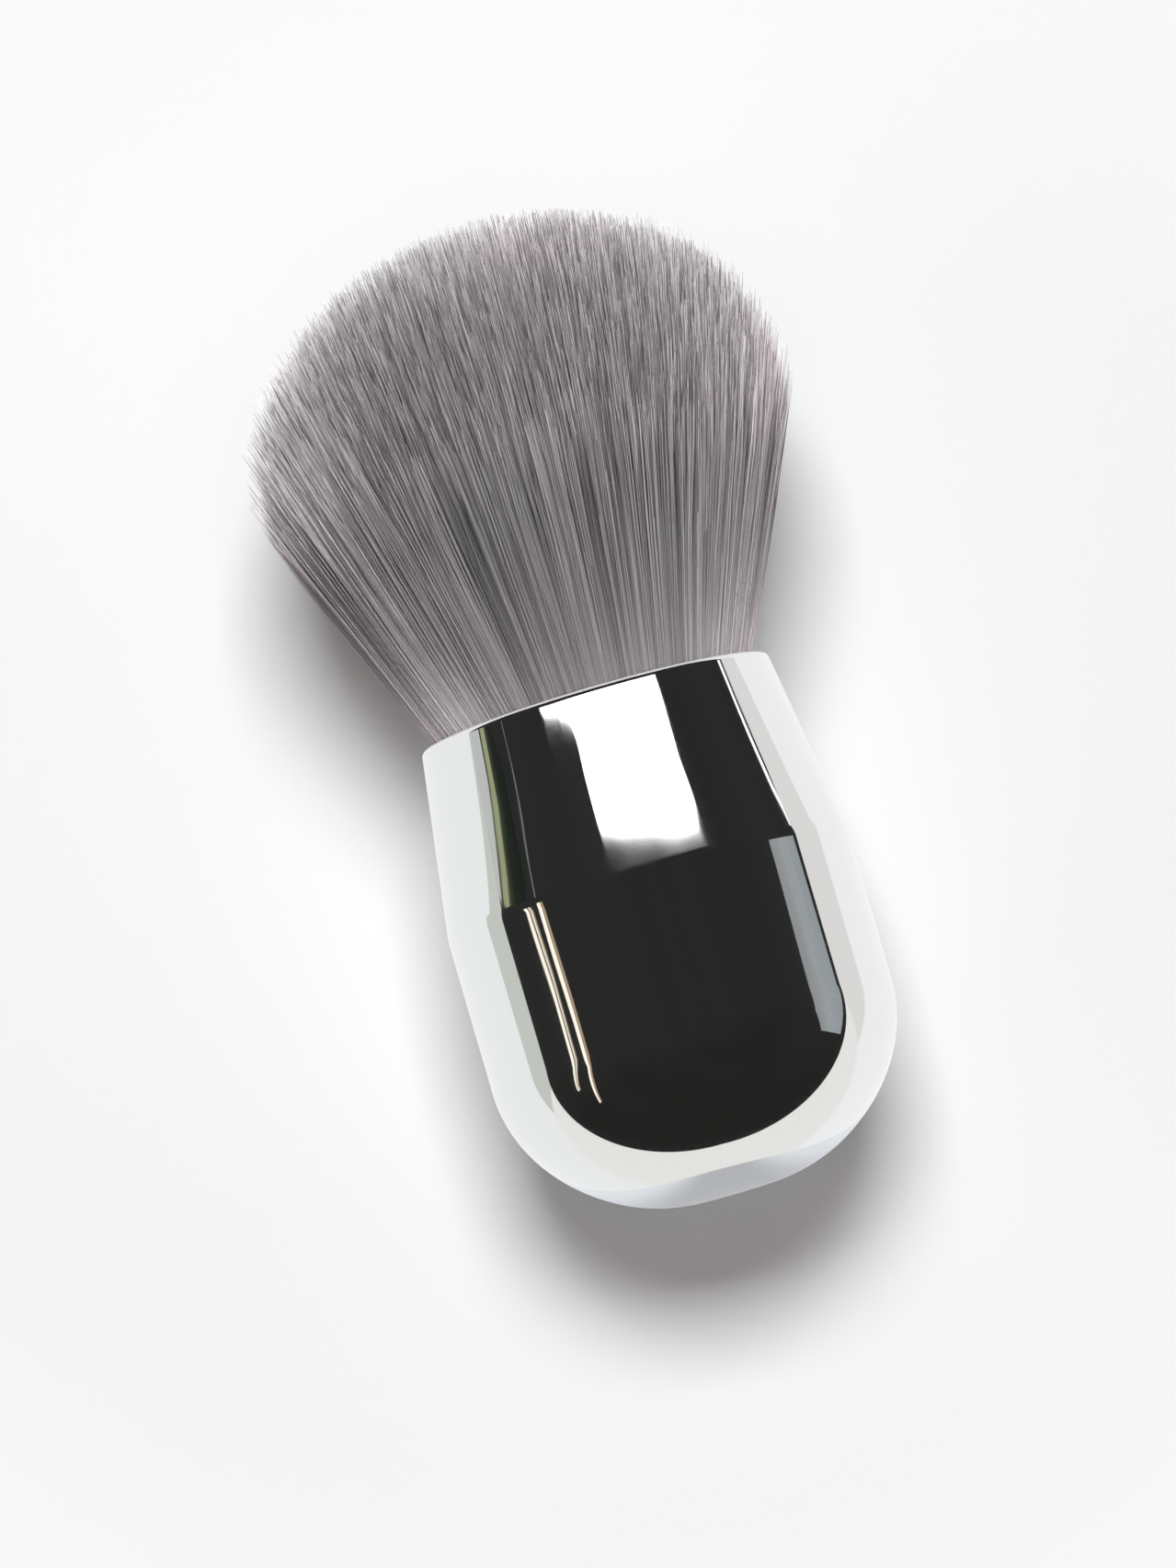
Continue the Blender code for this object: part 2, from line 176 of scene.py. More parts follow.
def linear(value, slope, start):
    """A value times a slope, plus a start."""
    return calc("MULTIPLY_ADD", value, slope, start)


def parts(vector):
    """The three parts of a vector."""
    return add("ShaderNodeSeparateXYZ", {0: vector}).outputs


def ramp(value, low, high, start=0.0, end=1.0, kind="LINEAR"):
    """What goes from start to end while the value goes from low to high, and stays there."""
    inputs = {"Value": value, "From Min": low, "From Max": high, "To Min": start, "To Max": end}
    return add("ShaderNodeMapRange", inputs, interpolation_type=kind).outputs["Result"]


def step_between(value, low, high):
    """0 below low, 1 above high, and a smooth step between."""
    return ramp(value, low, high, kind="SMOOTHSTEP")


def noise(place, scale, detail):
    """Soft noise over a place."""
    inputs = {"Vector": place, "Scale": scale, "Detail": detail}
    return add("ShaderNodeTexNoise", inputs).outputs["Fac"]


def mix_colour(share, first, second, blend="MIX"):
    """Add a node that mixes two colours and return its result."""
    inputs = {"Factor": share, 6: first, 7: second}
    return add("ShaderNodeMix", inputs, data_type="RGBA", blend_type=blend).outputs[2]


print("times, minus, linear, ramp, noise and mix_colour work values out")


# %% Begin a material
def new_material(name):
    """Begin an empty material, as (material, its nodes by name, object coordinates)."""
    made = bpy.data.materials.new(name)
    made.use_nodes = True
    trees.append(made.node_tree)
    return made, made.node_tree.nodes, add("ShaderNodeTexCoord").outputs["Object"]


print("new_material begins each look")

# %% [markdown]
# Chrome
#
# The plating is a mirror, so nearly all that one sees on it is the room. What is its own is slight: a
# faint waviness, which makes straight reflections wander by a hair, and a roughness that drifts a little
# where it has been handled. More of either turns chrome into satin, so the values are small.
#
# Round the brightest reflection the photograph shows a rim of tiny specks and a faint bluish bloom. That
# is the lacquer over the plating: a thin rough coat, laid on in specks a tenth of a millimetre wide.
#
# Along the lip runs a fine pale line, just above a black one. A mirror can't give that so close to the
# hair, so the turn of the lip is painted pale: a painted highlight that stands for that line.

# %% Chrome material
CHROME_COLOUR = (0.86, 0.865, 0.865, 1.0)
CHROME_ROUGHNESS = (0.012, 0.035)
HANDLED_SCALE = 90.0
WAVE_SCALE = 240.0
WAVE_STRENGTH = 0.0008
SPECK_SCALE = 7000.0
HAZE = (0.12, 1.0)
# The colours and noise scale of the lip's painted highlight.
LIP_HIGHLIGHT_DARK, LIP_HIGHLIGHT_LIGHT, LIP_HIGHLIGHT_NOISE = (0.72, 0.70, 0.70, 1.0), (0.96, 0.94, 0.94, 1.0), 420.0
LIP_FACING = (0.60, 0.955)

chrome, nodes, place = new_material("chrome_plating")
waves = noise(place, WAVE_SCALE, 1.0)
bump = out("ShaderNodeBump", {"Height": waves, "Strength": WAVE_STRENGTH, "Distance": 0.001})
fill(nodes["Principled BSDF"], {
    "Base Color": CHROME_COLOUR,
    "Metallic": 1.0,
    "Roughness": ramp(noise(place, HANDLED_SCALE, 3.0), 0.35, 0.7, *CHROME_ROUGHNESS),
    "Coat Weight": ramp(noise(place, SPECK_SCALE, 0.0), 0.50, 0.66, *HAZE),
    "Coat Roughness": 0.18,
    "Normal": bump,
})
print("chrome roughness", CHROME_ROUGHNESS)

# Painted highlight: the lip's turn is painted pale to stand for a fine bright line.
lip_highlight_paint, nodes, place = new_material("painted_lip_highlight")
fill(nodes["Principled BSDF"], {
    "Base Color": mix_colour(noise(place, LIP_HIGHLIGHT_NOISE, 3.0), LIP_HIGHLIGHT_DARK, LIP_HIGHLIGHT_LIGHT),
    "Metallic": 0.15,
    "Roughness": 0.40,
})
print("lip: pale where its normal leans towards the hair by", LIP_FACING)

# %% [markdown]
# The handle's shell
#
# The real shell is one plated cup: a rounded lip, a cone that widens away from it, a soft crease, a
# straight belly, a domed end and a small flat to stand on. A mirror shows every facet, so the packed
# model's 56 sides would look cut. The same half outline is turned here with 320 sides.
#
# Smooth shading carries a curve's last direction into the straight part that follows, which moves the
# reflections by degrees. So each straight part gets an extra point close to both of its ends.

# %% Sizes of the shell
RIM_RADIUS = 0.0143
RIM_ROUND = 0.00075
LIP_CHAMFER = 0.00015
CONE_LENGTH = 0.0150
CREASE_ROUND = 0.0060
BELLY_RADIUS = 0.01645
BELLY_LENGTH = 0.0126
DOME_DEPTH = 0.0129
FOOT_RADIUS = 0.0050
FOOT_BLEND = 22
SHELL_WALL = 0.0009
SHELL_SIDES = 320
LIP_STEPS, CREASE_STEPS, DOME_STEPS, CAVITY_STEPS = 12, 8, 64, 20
SAME_SPOT = 1e-7
SHARP_ANGLE = math.radians(35)

DOME_START = -CONE_LENGTH - BELLY_LENGTH
DOME_AXIS = DOME_DEPTH / math.sqrt(1 - (FOOT_RADIUS / BELLY_RADIUS) ** 2)
CONE_ANGLE = math.atan((BELLY_RADIUS - RIM_RADIUS) / CONE_LENGTH)
RIM_BORE = RIM_RADIUS - SHELL_WALL / math.cos(CONE_ANGLE)
print(f"cone {math.degrees(CONE_ANGLE):.1f} degrees, dome from {-DOME_START * 1000:.1f} mm below the rim")


# %% Curves of the outline
def corner_round(before, corner, after, radius, steps):
    """Points that round one corner of an outline with an arc that touches both of its sides."""
    corner, back, ahead = Vector(corner), Vector(before) - Vector(corner), Vector(after) - Vector(corner)
    half = back.angle(ahead) / 2
    reach = min(radius / math.tan(half), 0.45 * back.length, 0.45 * ahead.length)
    middle = corner + (back.normalized() + ahead.normalized()).normalized() * reach / math.cos(half)
    start = corner + back.normalized() * reach - middle
    turn = start.angle_signed(corner + ahead.normalized() * reach - middle)
    return [tuple(middle + Matrix.Rotation(-turn * i / steps, 2) @ start) for i in range(steps + 1)]


def dome_arc(inset, floor, steps):
    """Points down the domed end, inset from its outside, to a flat floor."""
    end = math.asin((DOME_START - floor) / (DOME_AXIS - inset))
    turns = [end * i / steps for i in range(steps + 1)]
    across, along = BELLY_RADIUS - inset, DOME_AXIS - inset
    return [(across * math.cos(a), DOME_START - along * math.sin(a)) for a in turns]


def foot_blend(before, start, after, floor, steps):
    """Points that lead a curve smoothly into the flat that it stands on."""
    start = Vector(start)
    heading = (Vector(after) - Vector(before)).normalized()
    corner = start + heading * (floor - start.y) / heading.y
    end = corner - Vector(((corner - start).length, 0.0))
    turns = [i / steps for i in range(1, steps + 1)]
    return [tuple(start * (1 - t) ** 2 + corner * 2 * t * (1 - t) + end * t * t) for t in turns]


print("the dome's curve ends", round(dome_arc(0.0, -HANDLE_LENGTH, DOME_STEPS)[-1][0] * 1000, 2), "mm out")


# %% The shell's half section
def supported(outline, longest=0.001, inset=0.00003):
    """The outline with points close to both ends of each long straight part, for true shading."""
    points = []
    for before, after in zip(outline, outline[1:] + outline[:1]):
        points.append(before)
        straight = Vector(after) - Vector(before)
        if straight.length > longest:
            step = straight.normalized() * inset
            points += [tuple(Vector(before) + step), tuple(Vector(after) - step)]
    return points


def shell_outline():
    """Half section of the shell, from the lip down the outside and back up the cavity."""
    crease = (BELLY_RADIUS, -CONE_LENGTH)
    dome = dome_arc(0.0, -HANDLE_LENGTH, DOME_STEPS)
    cavity = dome_arc(SHELL_WALL, -HANDLE_LENGTH + SHELL_WALL, CAVITY_STEPS)
    return supported([
        (RIM_BORE, -LIP_CHAMFER),
        (RIM_BORE + LIP_CHAMFER, 0.0),
        *corner_round((RIM_BORE, 0.0), (RIM_RADIUS, 0.0), crease, RIM_ROUND, LIP_STEPS),
        *corner_round((RIM_RADIUS, 0.0), crease, dome[0], CREASE_ROUND, CREASE_STEPS),
        *dome[:-FOOT_BLEND],
        *foot_blend(*dome[-FOOT_BLEND - 1:-FOOT_BLEND + 2], -HANDLE_LENGTH, FOOT_BLEND),
        (0.0, -HANDLE_LENGTH),
        (0.0, -HANDLE_LENGTH + SHELL_WALL),
        *reversed(cavity),
        (BELLY_RADIUS - SHELL_WALL, -CONE_LENGTH),
    ])


print(f"{len(shell_outline())} outline points, belly {BELLY_RADIUS * 2000:.1f} mm across")


# %% Turn an outline into a piece
def turned_mesh(name, outline, sides):
    """A closed mesh turned round +Z from a closed outline of (radius, height) points."""
    bm = bmesh.new()
    verts = [bm.verts.new((radius, 0.0, height)) for radius, height in outline]
    edges = [bm.edges.new((verts[i - 1], verts[i])) for i in range(len(verts))]
    on_axis = [e for e in edges if max(v.co.x for v in e.verts) < SAME_SPOT]
    bmesh.ops.delete(bm, geom=on_axis, context="EDGES")
    bmesh.ops.spin(
        bm, geom=bm.verts[:] + bm.edges[:], cent=(0, 0, 0), axis=(0, 0, 1),
        angle=2 * math.pi, steps=sides, use_merge=True,
    )
    bmesh.ops.remove_doubles(bm, verts=bm.verts[:], dist=SAME_SPOT)
    bmesh.ops.recalc_face_normals(bm, faces=bm.faces[:])
    mesh = bpy.data.meshes.new(name)
    bm.to_mesh(mesh)
    bm.free()
    mesh.shade_smooth()
    mesh.set_sharp_from_angle(angle=SHARP_ANGLE)
    return mesh


def show(name, mesh, nodes):
    """Put a finished mesh in the scene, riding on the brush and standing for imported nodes."""
    piece = into_scene(name, mesh)
    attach(piece, "root")
    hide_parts(*nodes)


shell_mesh = turned_mesh("mirror_shell", shell_outline(), SHELL_SIDES)
# The faces round the lip's turn take the painted highlight.
lip_faces = [
    face.index for face in shell_mesh.polygons
    if face.center.z > -RIM_ROUND and LIP_FACING[0] < face.normal.z < LIP_FACING[1]
    and face.center.xy.length > RIM_RADIUS - RIM_ROUND
]
shell_mesh.transform(LAY_DOWN)
shell_mesh.materials.append(chrome)
shell_mesh.materials.append(lip_highlight_paint)
for face in lip_faces:
    shell_mesh.polygons[face].material_index = 1
show("mirror_shell", shell_mesh, ["handle_shell"])
print(f"shell: {len(shell_mesh.polygons)} faces")

# %% [markdown]
# How the hair grows
#
# On the real brush tens of thousands of tapered fibres are set side by side in resin inside the handle.
# They leave the rim as one tight bundle, fan out in nearly straight lines, and end in a dome, because
# the knot was tied in a dome-shaped mould. So each strand can be worked out from its tip: the tip lies
# on the dome, and the root's place follows from how far the bundle has fanned out at that height.
#
# Particle hair leaves no mesh to export, so Geometry Nodes make real thin tubes from one rule, whose
# sizes stay inputs that can be changed.

# %% Sizes of the hair
STRAND_POINTS = 7
STRAND_SIDES = 3
TIP_TAPER = 0.72
GOLDEN_TURN = (3 - math.sqrt(5)) / 2
TURN_JITTER = 0.0035
SHORT_POWER = 1.4
SPLAY_POWER = 5.0
WAVE_SIZE, WAVE_AMOUNT = 7.0, 0.040
CURL_SIZE, CURL_AMOUNT = 240.0, 0.024
STRAY_SHARE, STRAY_CURL = 0.012, 4.0
WISP_TINT = 0.10
FLOOR_SKIN = 0.00012
SEED = 11

HAIR = {
    "Strands": 42000,
    "Strand radius": 0.000057,
    "Root height": -0.0063,
    "Fan radius": 0.0133,
    "Fan slope": 0.410,
    "Fan ease": 104.0,
    "Dome radius": 0.0210,
    "Dome height": 0.0162,
    "Dome centre": 0.0238,
    "Dome edge": math.cos(math.radians(106)),
    "Length spread": 0.0024,
    "Wisp spread": 0.0006,
    "Wisps": 120.0,
    "Wisp pull": 0.20,
    "Locks": 26.0,
    "Lock pull": 0.05,
    "Splay": 0.075,
    "Lean": 0.022,
    "Floor depth": rim_centre.z / math.cos(LIE_TILT) - FLOOR_SKIN,
    "Floor slope": math.tan(LIE_TILT),
    "Press reach": 0.0060,
    "Seed": SEED,
}


def fan(height):
    """How wide the whole bundle is at a height above the rim, as a radius."""
    return HAIR["Fan radius"] + HAIR["Fan slope"] * (height - HAIR["Fan ease"] * height**3)


for height in (0.0, 0.010, 0.020):
    print(f"bundle at {height * 1000:.0f} mm: {fan(height) * 2000:.1f} mm across")

# %% [markdown]
# The tree that grows one part of the head
#
# The tree scatters the tips over the dome by the golden angle, which spaces them evenly without a
# pattern, and keeps those of one part of the head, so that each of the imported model's thirteen tufts is
# replaced by its own piece. It bends a curve for each tip and gives it a thin triangular tube.
#
# Three things make the result hair and not a comb. Neighbouring strands are drawn together into fine
# wisps, and those into wider locks, which opens dark gaps between them. A slow noise lets whole locks
# swerve, and a quick one sends each strand a little way across its neighbours, a few of them further.
# The table presses in what lies on it.

# %% Inputs of the strand tree
PART_LIMITS = ("Share from", "Share to", "Sector from", "Sector to")


def new_tree(name):
    """Begin a geometry tree with every size of the hair as an input, as (tree, input sockets)."""
    tree = bpy.data.node_groups.new(name, "GeometryNodeTree")
    tree.interface.new_socket("Geometry", in_out="OUTPUT", socket_type="NodeSocketGeometry")
    kinds = dict.fromkeys([*HAIR, *PART_LIMITS], "NodeSocketFloat")
    kinds.update({"Strands": "NodeSocketInt", "Seed": "NodeSocketInt", "Material": "NodeSocketMaterial"})
    for label, kind in kinds.items():
        tree.interface.new_socket(label, in_out="INPUT", socket_type=kind)
    trees.append(tree)
    return tree, add("NodeGroupInput").outputs


print(len(HAIR), "sizes, and", len(PART_LIMITS), "limits for each part")


# %% Values that the strands carry
VECTORS = ("spot", "wisp", "lock")
SPARE = (*VECTORS, "stray", "tip", "splay")


def bundle_radius(given, height):
    """The fan's radius at a height, as nodes."""
    cube = calc("POWER", height, 3.0)
    eased = minus(height, times(cube, given["Fan ease"]))
    return linear(eased, given["Fan slope"], given["Fan radius"])


def kind_of(name):
    """The type of a stored value."""
    return "FLOAT_VECTOR" if name in VECTORS else "FLOAT"


def store(geometry, name, value):
    """Keep a value on each point under a name."""
    inputs = {"Geometry": geometry, "Name": name, "Value": value}
    options = {"data_type": kind_of(name), "domain": "POINT"}
    return out("GeometryNodeStoreNamedAttribute", inputs, **options)


def read(name):
    """Read a stored value back."""
    return out("GeometryNodeInputNamedAttribute", {"Name": name}, data_type=kind_of(name))


def random_number(index, seed):
    """A chance value from 0 to 1 for each point, the same on every run."""
    inputs = {"ID": index, "Seed": seed}
    return add("FunctionNodeRandomValue", inputs, data_type="FLOAT").outputs[1]


def inside(value, low, high):
    """1 where a value lies between two others, and 0 elsewhere."""
    above = calc("GREATER_THAN", value, low)
    return times(above, calc("LESS_THAN", value, high))


print("each strand carries", ", ".join(SPARE), "and tint and along")


# %% Step one: tips over the dome
def tips(given):
    """Points for the strands of one part of the head, each with its place and its tip's height."""
    points = out("GeometryNodePoints", {"Count": given["Strands"]})
    index = out("GeometryNodeInputIndex")
    seeds = [calc("ADD", given["Seed"], float(i)) for i in range(4)]
    chance_short, tint, chance_out, chance_turn = [random_number(index, seed) for seed in seeds]

    share = calc("DIVIDE", calc("ADD", index, 0.5), given["Strands"])
    fall = times(share, minus(1.0, given["Dome edge"]))
    cosine = minus(1.0, fall)
    sine = calc("SQRT", minus(1.0, times(cosine, cosine)))
    tip_radius = times(given["Dome radius"], sine)
    tip_height = linear(given["Dome height"], cosine, given["Dome centre"])
    outward = calc("DIVIDE", tip_radius, bundle_radius(given, tip_height))
    jitter = times(chance_turn, TURN_JITTER)
    turn = calc("FRACT", linear(index, GOLDEN_TURN, jitter))
    angle = times(turn, 2 * math.pi)
    spot = out("ShaderNodeCombineXYZ", {
        0: times(outward, calc("COSINE", angle)),
        1: times(outward, calc("SINE", angle)),
    })

    wisps = add("ShaderNodeTexVoronoi", {"Vector": spot, "Scale": given["Wisps"]}).outputs
    locks = add("ShaderNodeTexVoronoi", {"Vector": spot, "Scale": given["Locks"]}).outputs
    shared = parts(wisps["Color"])
    short = times(calc("POWER", chance_short, SHORT_POWER), given["Length spread"])
    short = linear(shared[1], given["Wisp spread"], short)
    wisp_tint = times(shared[0], WISP_TINT)
    splay = times(calc("POWER", chance_out, SPLAY_POWER), given["Splay"])

    in_share = inside(outward, given["Share from"], given["Share to"])
    in_sector = inside(turn, given["Sector from"], given["Sector to"])
    dropped = calc("LESS_THAN", times(in_share, in_sector), 0.5)
    stored = {
        "spot": spot,
        "wisp": wisps["Position"],
        "lock": locks["Position"],
        "stray": calc("LESS_THAN", tint, STRAY_SHARE),
        "tip": minus(tip_height, short),
        "tint": linear(tint, 1.0 - WISP_TINT, wisp_tint),
        "splay": splay,
    }
    for name, value in stored.items():
        points = store(points, name, value)
    cut = {"Geometry": points, "Selection": dropped}
    return out("GeometryNodeDeleteGeometry", cut, domain="POINT")


print("tips: scattered by the golden angle,", round(360 * GOLDEN_TURN, 2), "degrees")


# %% Step two: one bent curve for each tip
def scaled(vector, scale):
    """A vector times a number."""
    inputs = {"Vector": vector, "Scale": scale}
    return out("ShaderNodeVectorMath", inputs, operation="SCALE")


def summed(first, second, operation="ADD"):
    """Two vectors added, or combined in another way."""
    return out("ShaderNodeVectorMath", {0: first, 1: second}, operation=operation)


def swerve(spot, along, size, amount):
    """A sideways wander that changes slowly along a strand and from one strand to the next."""
    rise = out("ShaderNodeCombineXYZ", {2: times(along, 2.2)})
    where = summed(scaled(spot, size), rise)
    swirl = add("ShaderNodeTexNoise", {"Vector": where, "Scale": 1.0, "Detail": 1.0}).outputs["Color"]
    centred = summed(swirl, (0.5, 0.5, 0.5), "SUBTRACT")
    return scaled(centred, times(calc("POWER", along, 1.5), amount))


def bend(given, curves):
    """Move the points of straight curves to where the strands run, pressed in by the table."""
    along = add("GeometryNodeSplineParameter").outputs["Factor"]
    spot = read("spot")
    run = minus(read("tip"), given["Root height"])
    height = linear(run, along, given["Root height"])
    drawn = spot
    for name, strength, growth in (("wisp", "Wisp pull", 1.0), ("lock", "Lock pull", 1.6)):
        pull = times(calc("POWER", along, growth), given[strength])
        to_middle = summed(read(name), spot, "SUBTRACT")
        drawn = summed(drawn, scaled(to_middle, pull))
    curl = linear(read("stray"), CURL_AMOUNT * STRAY_CURL, CURL_AMOUNT)
    drawn = summed(drawn, swerve(spot, along, WAVE_SIZE, WAVE_AMOUNT))
    drawn = summed(drawn, swerve(spot, along, CURL_SIZE, curl))
    spread = linear(read("splay"), along, 1.0)
    wide = times(bundle_radius(given, height), spread)
    flat = parts(scaled(drawn, wide))
    sideways = linear(calc("MAXIMUM", height, 0.0), given["Lean"], flat[0])

    floor = linear(height, given["Floor slope"], given["Floor depth"])
    start = minus(floor, given["Press reach"])
    past = calc("MAXIMUM", minus(flat[1], start), 0.0)
    ratio = calc("DIVIDE", past, given["Press reach"])
    yielded = minus(1.0, calc("EXPONENT", times(ratio, -1.0)))
    kept = linear(yielded, given["Press reach"], minus(flat[1], past))
    position = out("ShaderNodeCombineXYZ", {0: sideways, 1: kept, 2: height})
    curves = store(curves, "along", along)
    return out("GeometryNodeSetPosition", {"Geometry": curves, "Position": position})


print("each strand has", STRAND_POINTS, "points")


# %% Step three: tubes, and the whole tree
def strand_tree():
    """Grow the strands of one part of the head round +Z."""
    tree, given = new_tree("strands")
    line = out("GeometryNodeCurvePrimitiveLine", {"End": (0.0, 0.0, 0.01)})
    line = out("GeometryNodeResampleCurve", {"Curve": line, "Count": STRAND_POINTS})
    placed = {"Points": tips(given), "Instance": line}
    curves = out("GeometryNodeInstanceOnPoints", placed)
    curves = out("GeometryNodeRealizeInstances", {"Geometry": curves})
    curves = bend(given, curves)
    thin = times(calc("POWER", read("along"), 4.0), TIP_TAPER)
    radius = times(minus(1.0, thin), given["Strand radius"])
    round_section = {"Resolution": STRAND_SIDES, "Radius": 1.0}
    ring = out("GeometryNodeCurvePrimitiveCircle", round_section)
    sweep = {"Curve": curves, "Profile Curve": ring, "Scale": radius, "Fill Caps": True}
    tubes = out("GeometryNodeCurveToMesh", sweep)
    tubes = out("GeometryNodeRealizeInstances", {"Geometry": tubes})
    finished = {"Geometry": tubes, "Material": given["Material"]}
    tubes = out("GeometryNodeSetMaterial", finished)
    add("NodeGroupOutput", {0: tubes})
    return tree


grow = strand_tree()
print("strand tree:", len(grow.nodes), "nodes")

# %% [markdown]
# The fibre's look
#
# The fibre is a taupe grey that leans to mauve in some places and to blue in others, in patches a
# centimetre or so wide. From one strand to the next it goes from dark to light, which is what draws the
# fine lines. The strands carry two stored values, `tint` for the strand and `along` from root to tip,
# so the colour needs no picture. A soft gloss and a little sheen stand for the smooth synthetic fibre.
#
# Real fibre lets light through, so it looks paler where the layer is thin: at the tips, along the flanks
# and on the crown. Solid tubes can't do that, so the colour is lifted there with painted light, most on
# the lower flanks, which lie in the head's own shade. Near the rim the real bundle is so tight that its
# lines almost vanish. The tubes are coarser than the fibres, so their colours draw together there, and
# painted light lifts them to make up for the shade between them.

# %% Fibre material
FIBRE_DARK = (0.086, 0.079, 0.081, 1.0)
FIBRE_LIGHT = (0.790, 0.745, 0.754, 1.0)
FIBRE_MAUVE = (1.015, 0.991, 1.002, 1.0)
FIBRE_BLUE = (0.980, 0.994, 1.022, 1.0)
FIBRE_ROUGHNESS = (0.38, 0.55)
PATCH_SCALE = 85.0
TINT_POWER = 1.5
MIDDLE_SHARE = 0.4
ROOT_PART = (0.05, 0.60)
ROOT_EVENNESS = 0.22
# Gains of painted light on the fibre's colour: near the root, at the tips, along the flanks and on the
# crown.
ROOT_PAINTED_LIGHT = 1.40
TIP_PAINTED_LIGHT = 1.45
FLANK_PAINTED_LIGHT = 0.75
LOW_FLANK_PAINTED_LIGHT = 1.1
CROWN_PAINTED_LIGHT = 0.55
CROWN_REACH = (0.0290, 0.0395)
NECK_HALF, NECK_GROWTH, HEAD_HALF = 0.0137, 0.36, 0.0212

fibre, nodes, place = new_material("taupe_fibre")
tint = add("ShaderNodeAttribute", attribute_name="tint").outputs["Fac"]
along = add("ShaderNodeAttribute", attribute_name="along").outputs["Fac"]
evenness = ramp(along, 0.10, 0.95, ROOT_EVENNESS, 1.0, "SMOOTHSTEP")
off_middle = minus(calc("POWER", tint, TINT_POWER), MIDDLE_SHARE)
share = linear(off_middle, evenness, MIDDLE_SHARE)
strand_colour = mix_colour(share, FIBRE_DARK, FIBRE_LIGHT)
hue = ramp(noise(place, PATCH_SCALE, 2.0), 0.38, 0.62)
cast = mix_colour(hue, FIBRE_MAUVE, FIBRE_BLUE)
cast_colour = mix_colour(1.0, strand_colour, cast, "MULTIPLY")

xyz = parts(place)
# Painted light: the colour is lifted along the flanks, more so near the rim, and near the root, at the tips
# and on the crown.
half_width = calc("MINIMUM", linear(xyz[1], NECK_GROWTH, NECK_HALF), HEAD_HALF)
across = calc("DIVIDE", calc("ABSOLUTE", xyz[0]), half_width)
flank_light_share = ramp(across, 0.50, 1.05, 0.0, FLANK_PAINTED_LIGHT)
low_flank_light_gain = ramp(along, *ROOT_PART, 1.0 + LOW_FLANK_PAINTED_LIGHT, 1.0, "SMOOTHSTEP")
painted_light = linear(flank_light_share, low_flank_light_gain, 1.0)
for factor in (
    ramp(along, *ROOT_PART, ROOT_PAINTED_LIGHT, 1.0, "SMOOTHSTEP"),
    ramp(along, 0.78, 1.0, 1.0, TIP_PAINTED_LIGHT),
    ramp(xyz[1], *CROWN_REACH, 1.0, 1.0 + CROWN_PAINTED_LIGHT),
):
    painted_light = times(painted_light, factor)
fill(nodes["Principled BSDF"], {
    "Base Color": scaled(cast_colour, painted_light),
    "Roughness": ramp(tint, 0.0, 1.0, *FIBRE_ROUGHNESS),
    "Specular IOR Level": 0.45,
    "Sheen Weight": 0.15,
    "Sheen Roughness": 0.4,
})
print("fibre from", FIBRE_DARK[:3], "to", FIBRE_LIGHT[:3])

# %% [markdown]
# The set root
#
# Below the rim the fibres are a solid block of fibre and resin, cut here into the same thirteen slices
# as the tufts that they carry, with a waist where the binding thread is wound. It is hidden in the
# handle, but a tuft without its root would be loose hair, so each slice is joined to its strands.

# %% Resin material
RESIN_DARK, RESIN_LIGHT = (0.10, 0.085, 0.08, 1.0), (0.24, 0.20, 0.17, 1.0)
RESIN_GRAIN = 4200.0

resin, nodes, place = new_material("fibre_in_resin")
grain = out("ShaderNodeTexVoronoi", {"Vector": place, "Scale": RESIN_GRAIN})
fill(nodes["Principled BSDF"], {"Base Color": mix_colour(grain, RESIN_DARK, RESIN_LIGHT), "Roughness": 0.30})
print("resin grain at", round(1000 / RESIN_GRAIN, 2), "mm")

# %% A slice of the root
CLEARANCE = 0.0003
ROOT_DEPTH = 0.0060
ROOT_RADIUS = 0.01040
COLLAR_HEIGHT = 0.0022
WAIST_SHOULDER = 0.0005
WAIST_DEPTH = 0.0009
ROOT_BOTTOM = -0.0140
SLICE_STEPS = 12


def slice_ring(bm, inner, outer, turns, height):
    """One ring of vertices round a sector, with half a gap left on each side of it."""
    half = CLEARANCE / 2
    ring = []
    for radius, order in ((outer - half, turns), (inner + half, list(reversed(turns)))):
        if inner == 0 and radius < outer - half:
            continue
        for i, turn in enumerate(order):
            shift = Vector((0.0, 0.0))
            if len(turns) <= SLICE_STEPS + 1 and i in (0, len(order) - 1):
                inward = 1 if turn == turns[0] else -1
                shift = Vector((-math.sin(turn), math.cos(turn))) * half * inward
            spot = (radius * math.cos(turn) + shift.x, radius * math.sin(turn) + shift.y, height)
            ring.append(bm.verts.new(spot))
    return ring


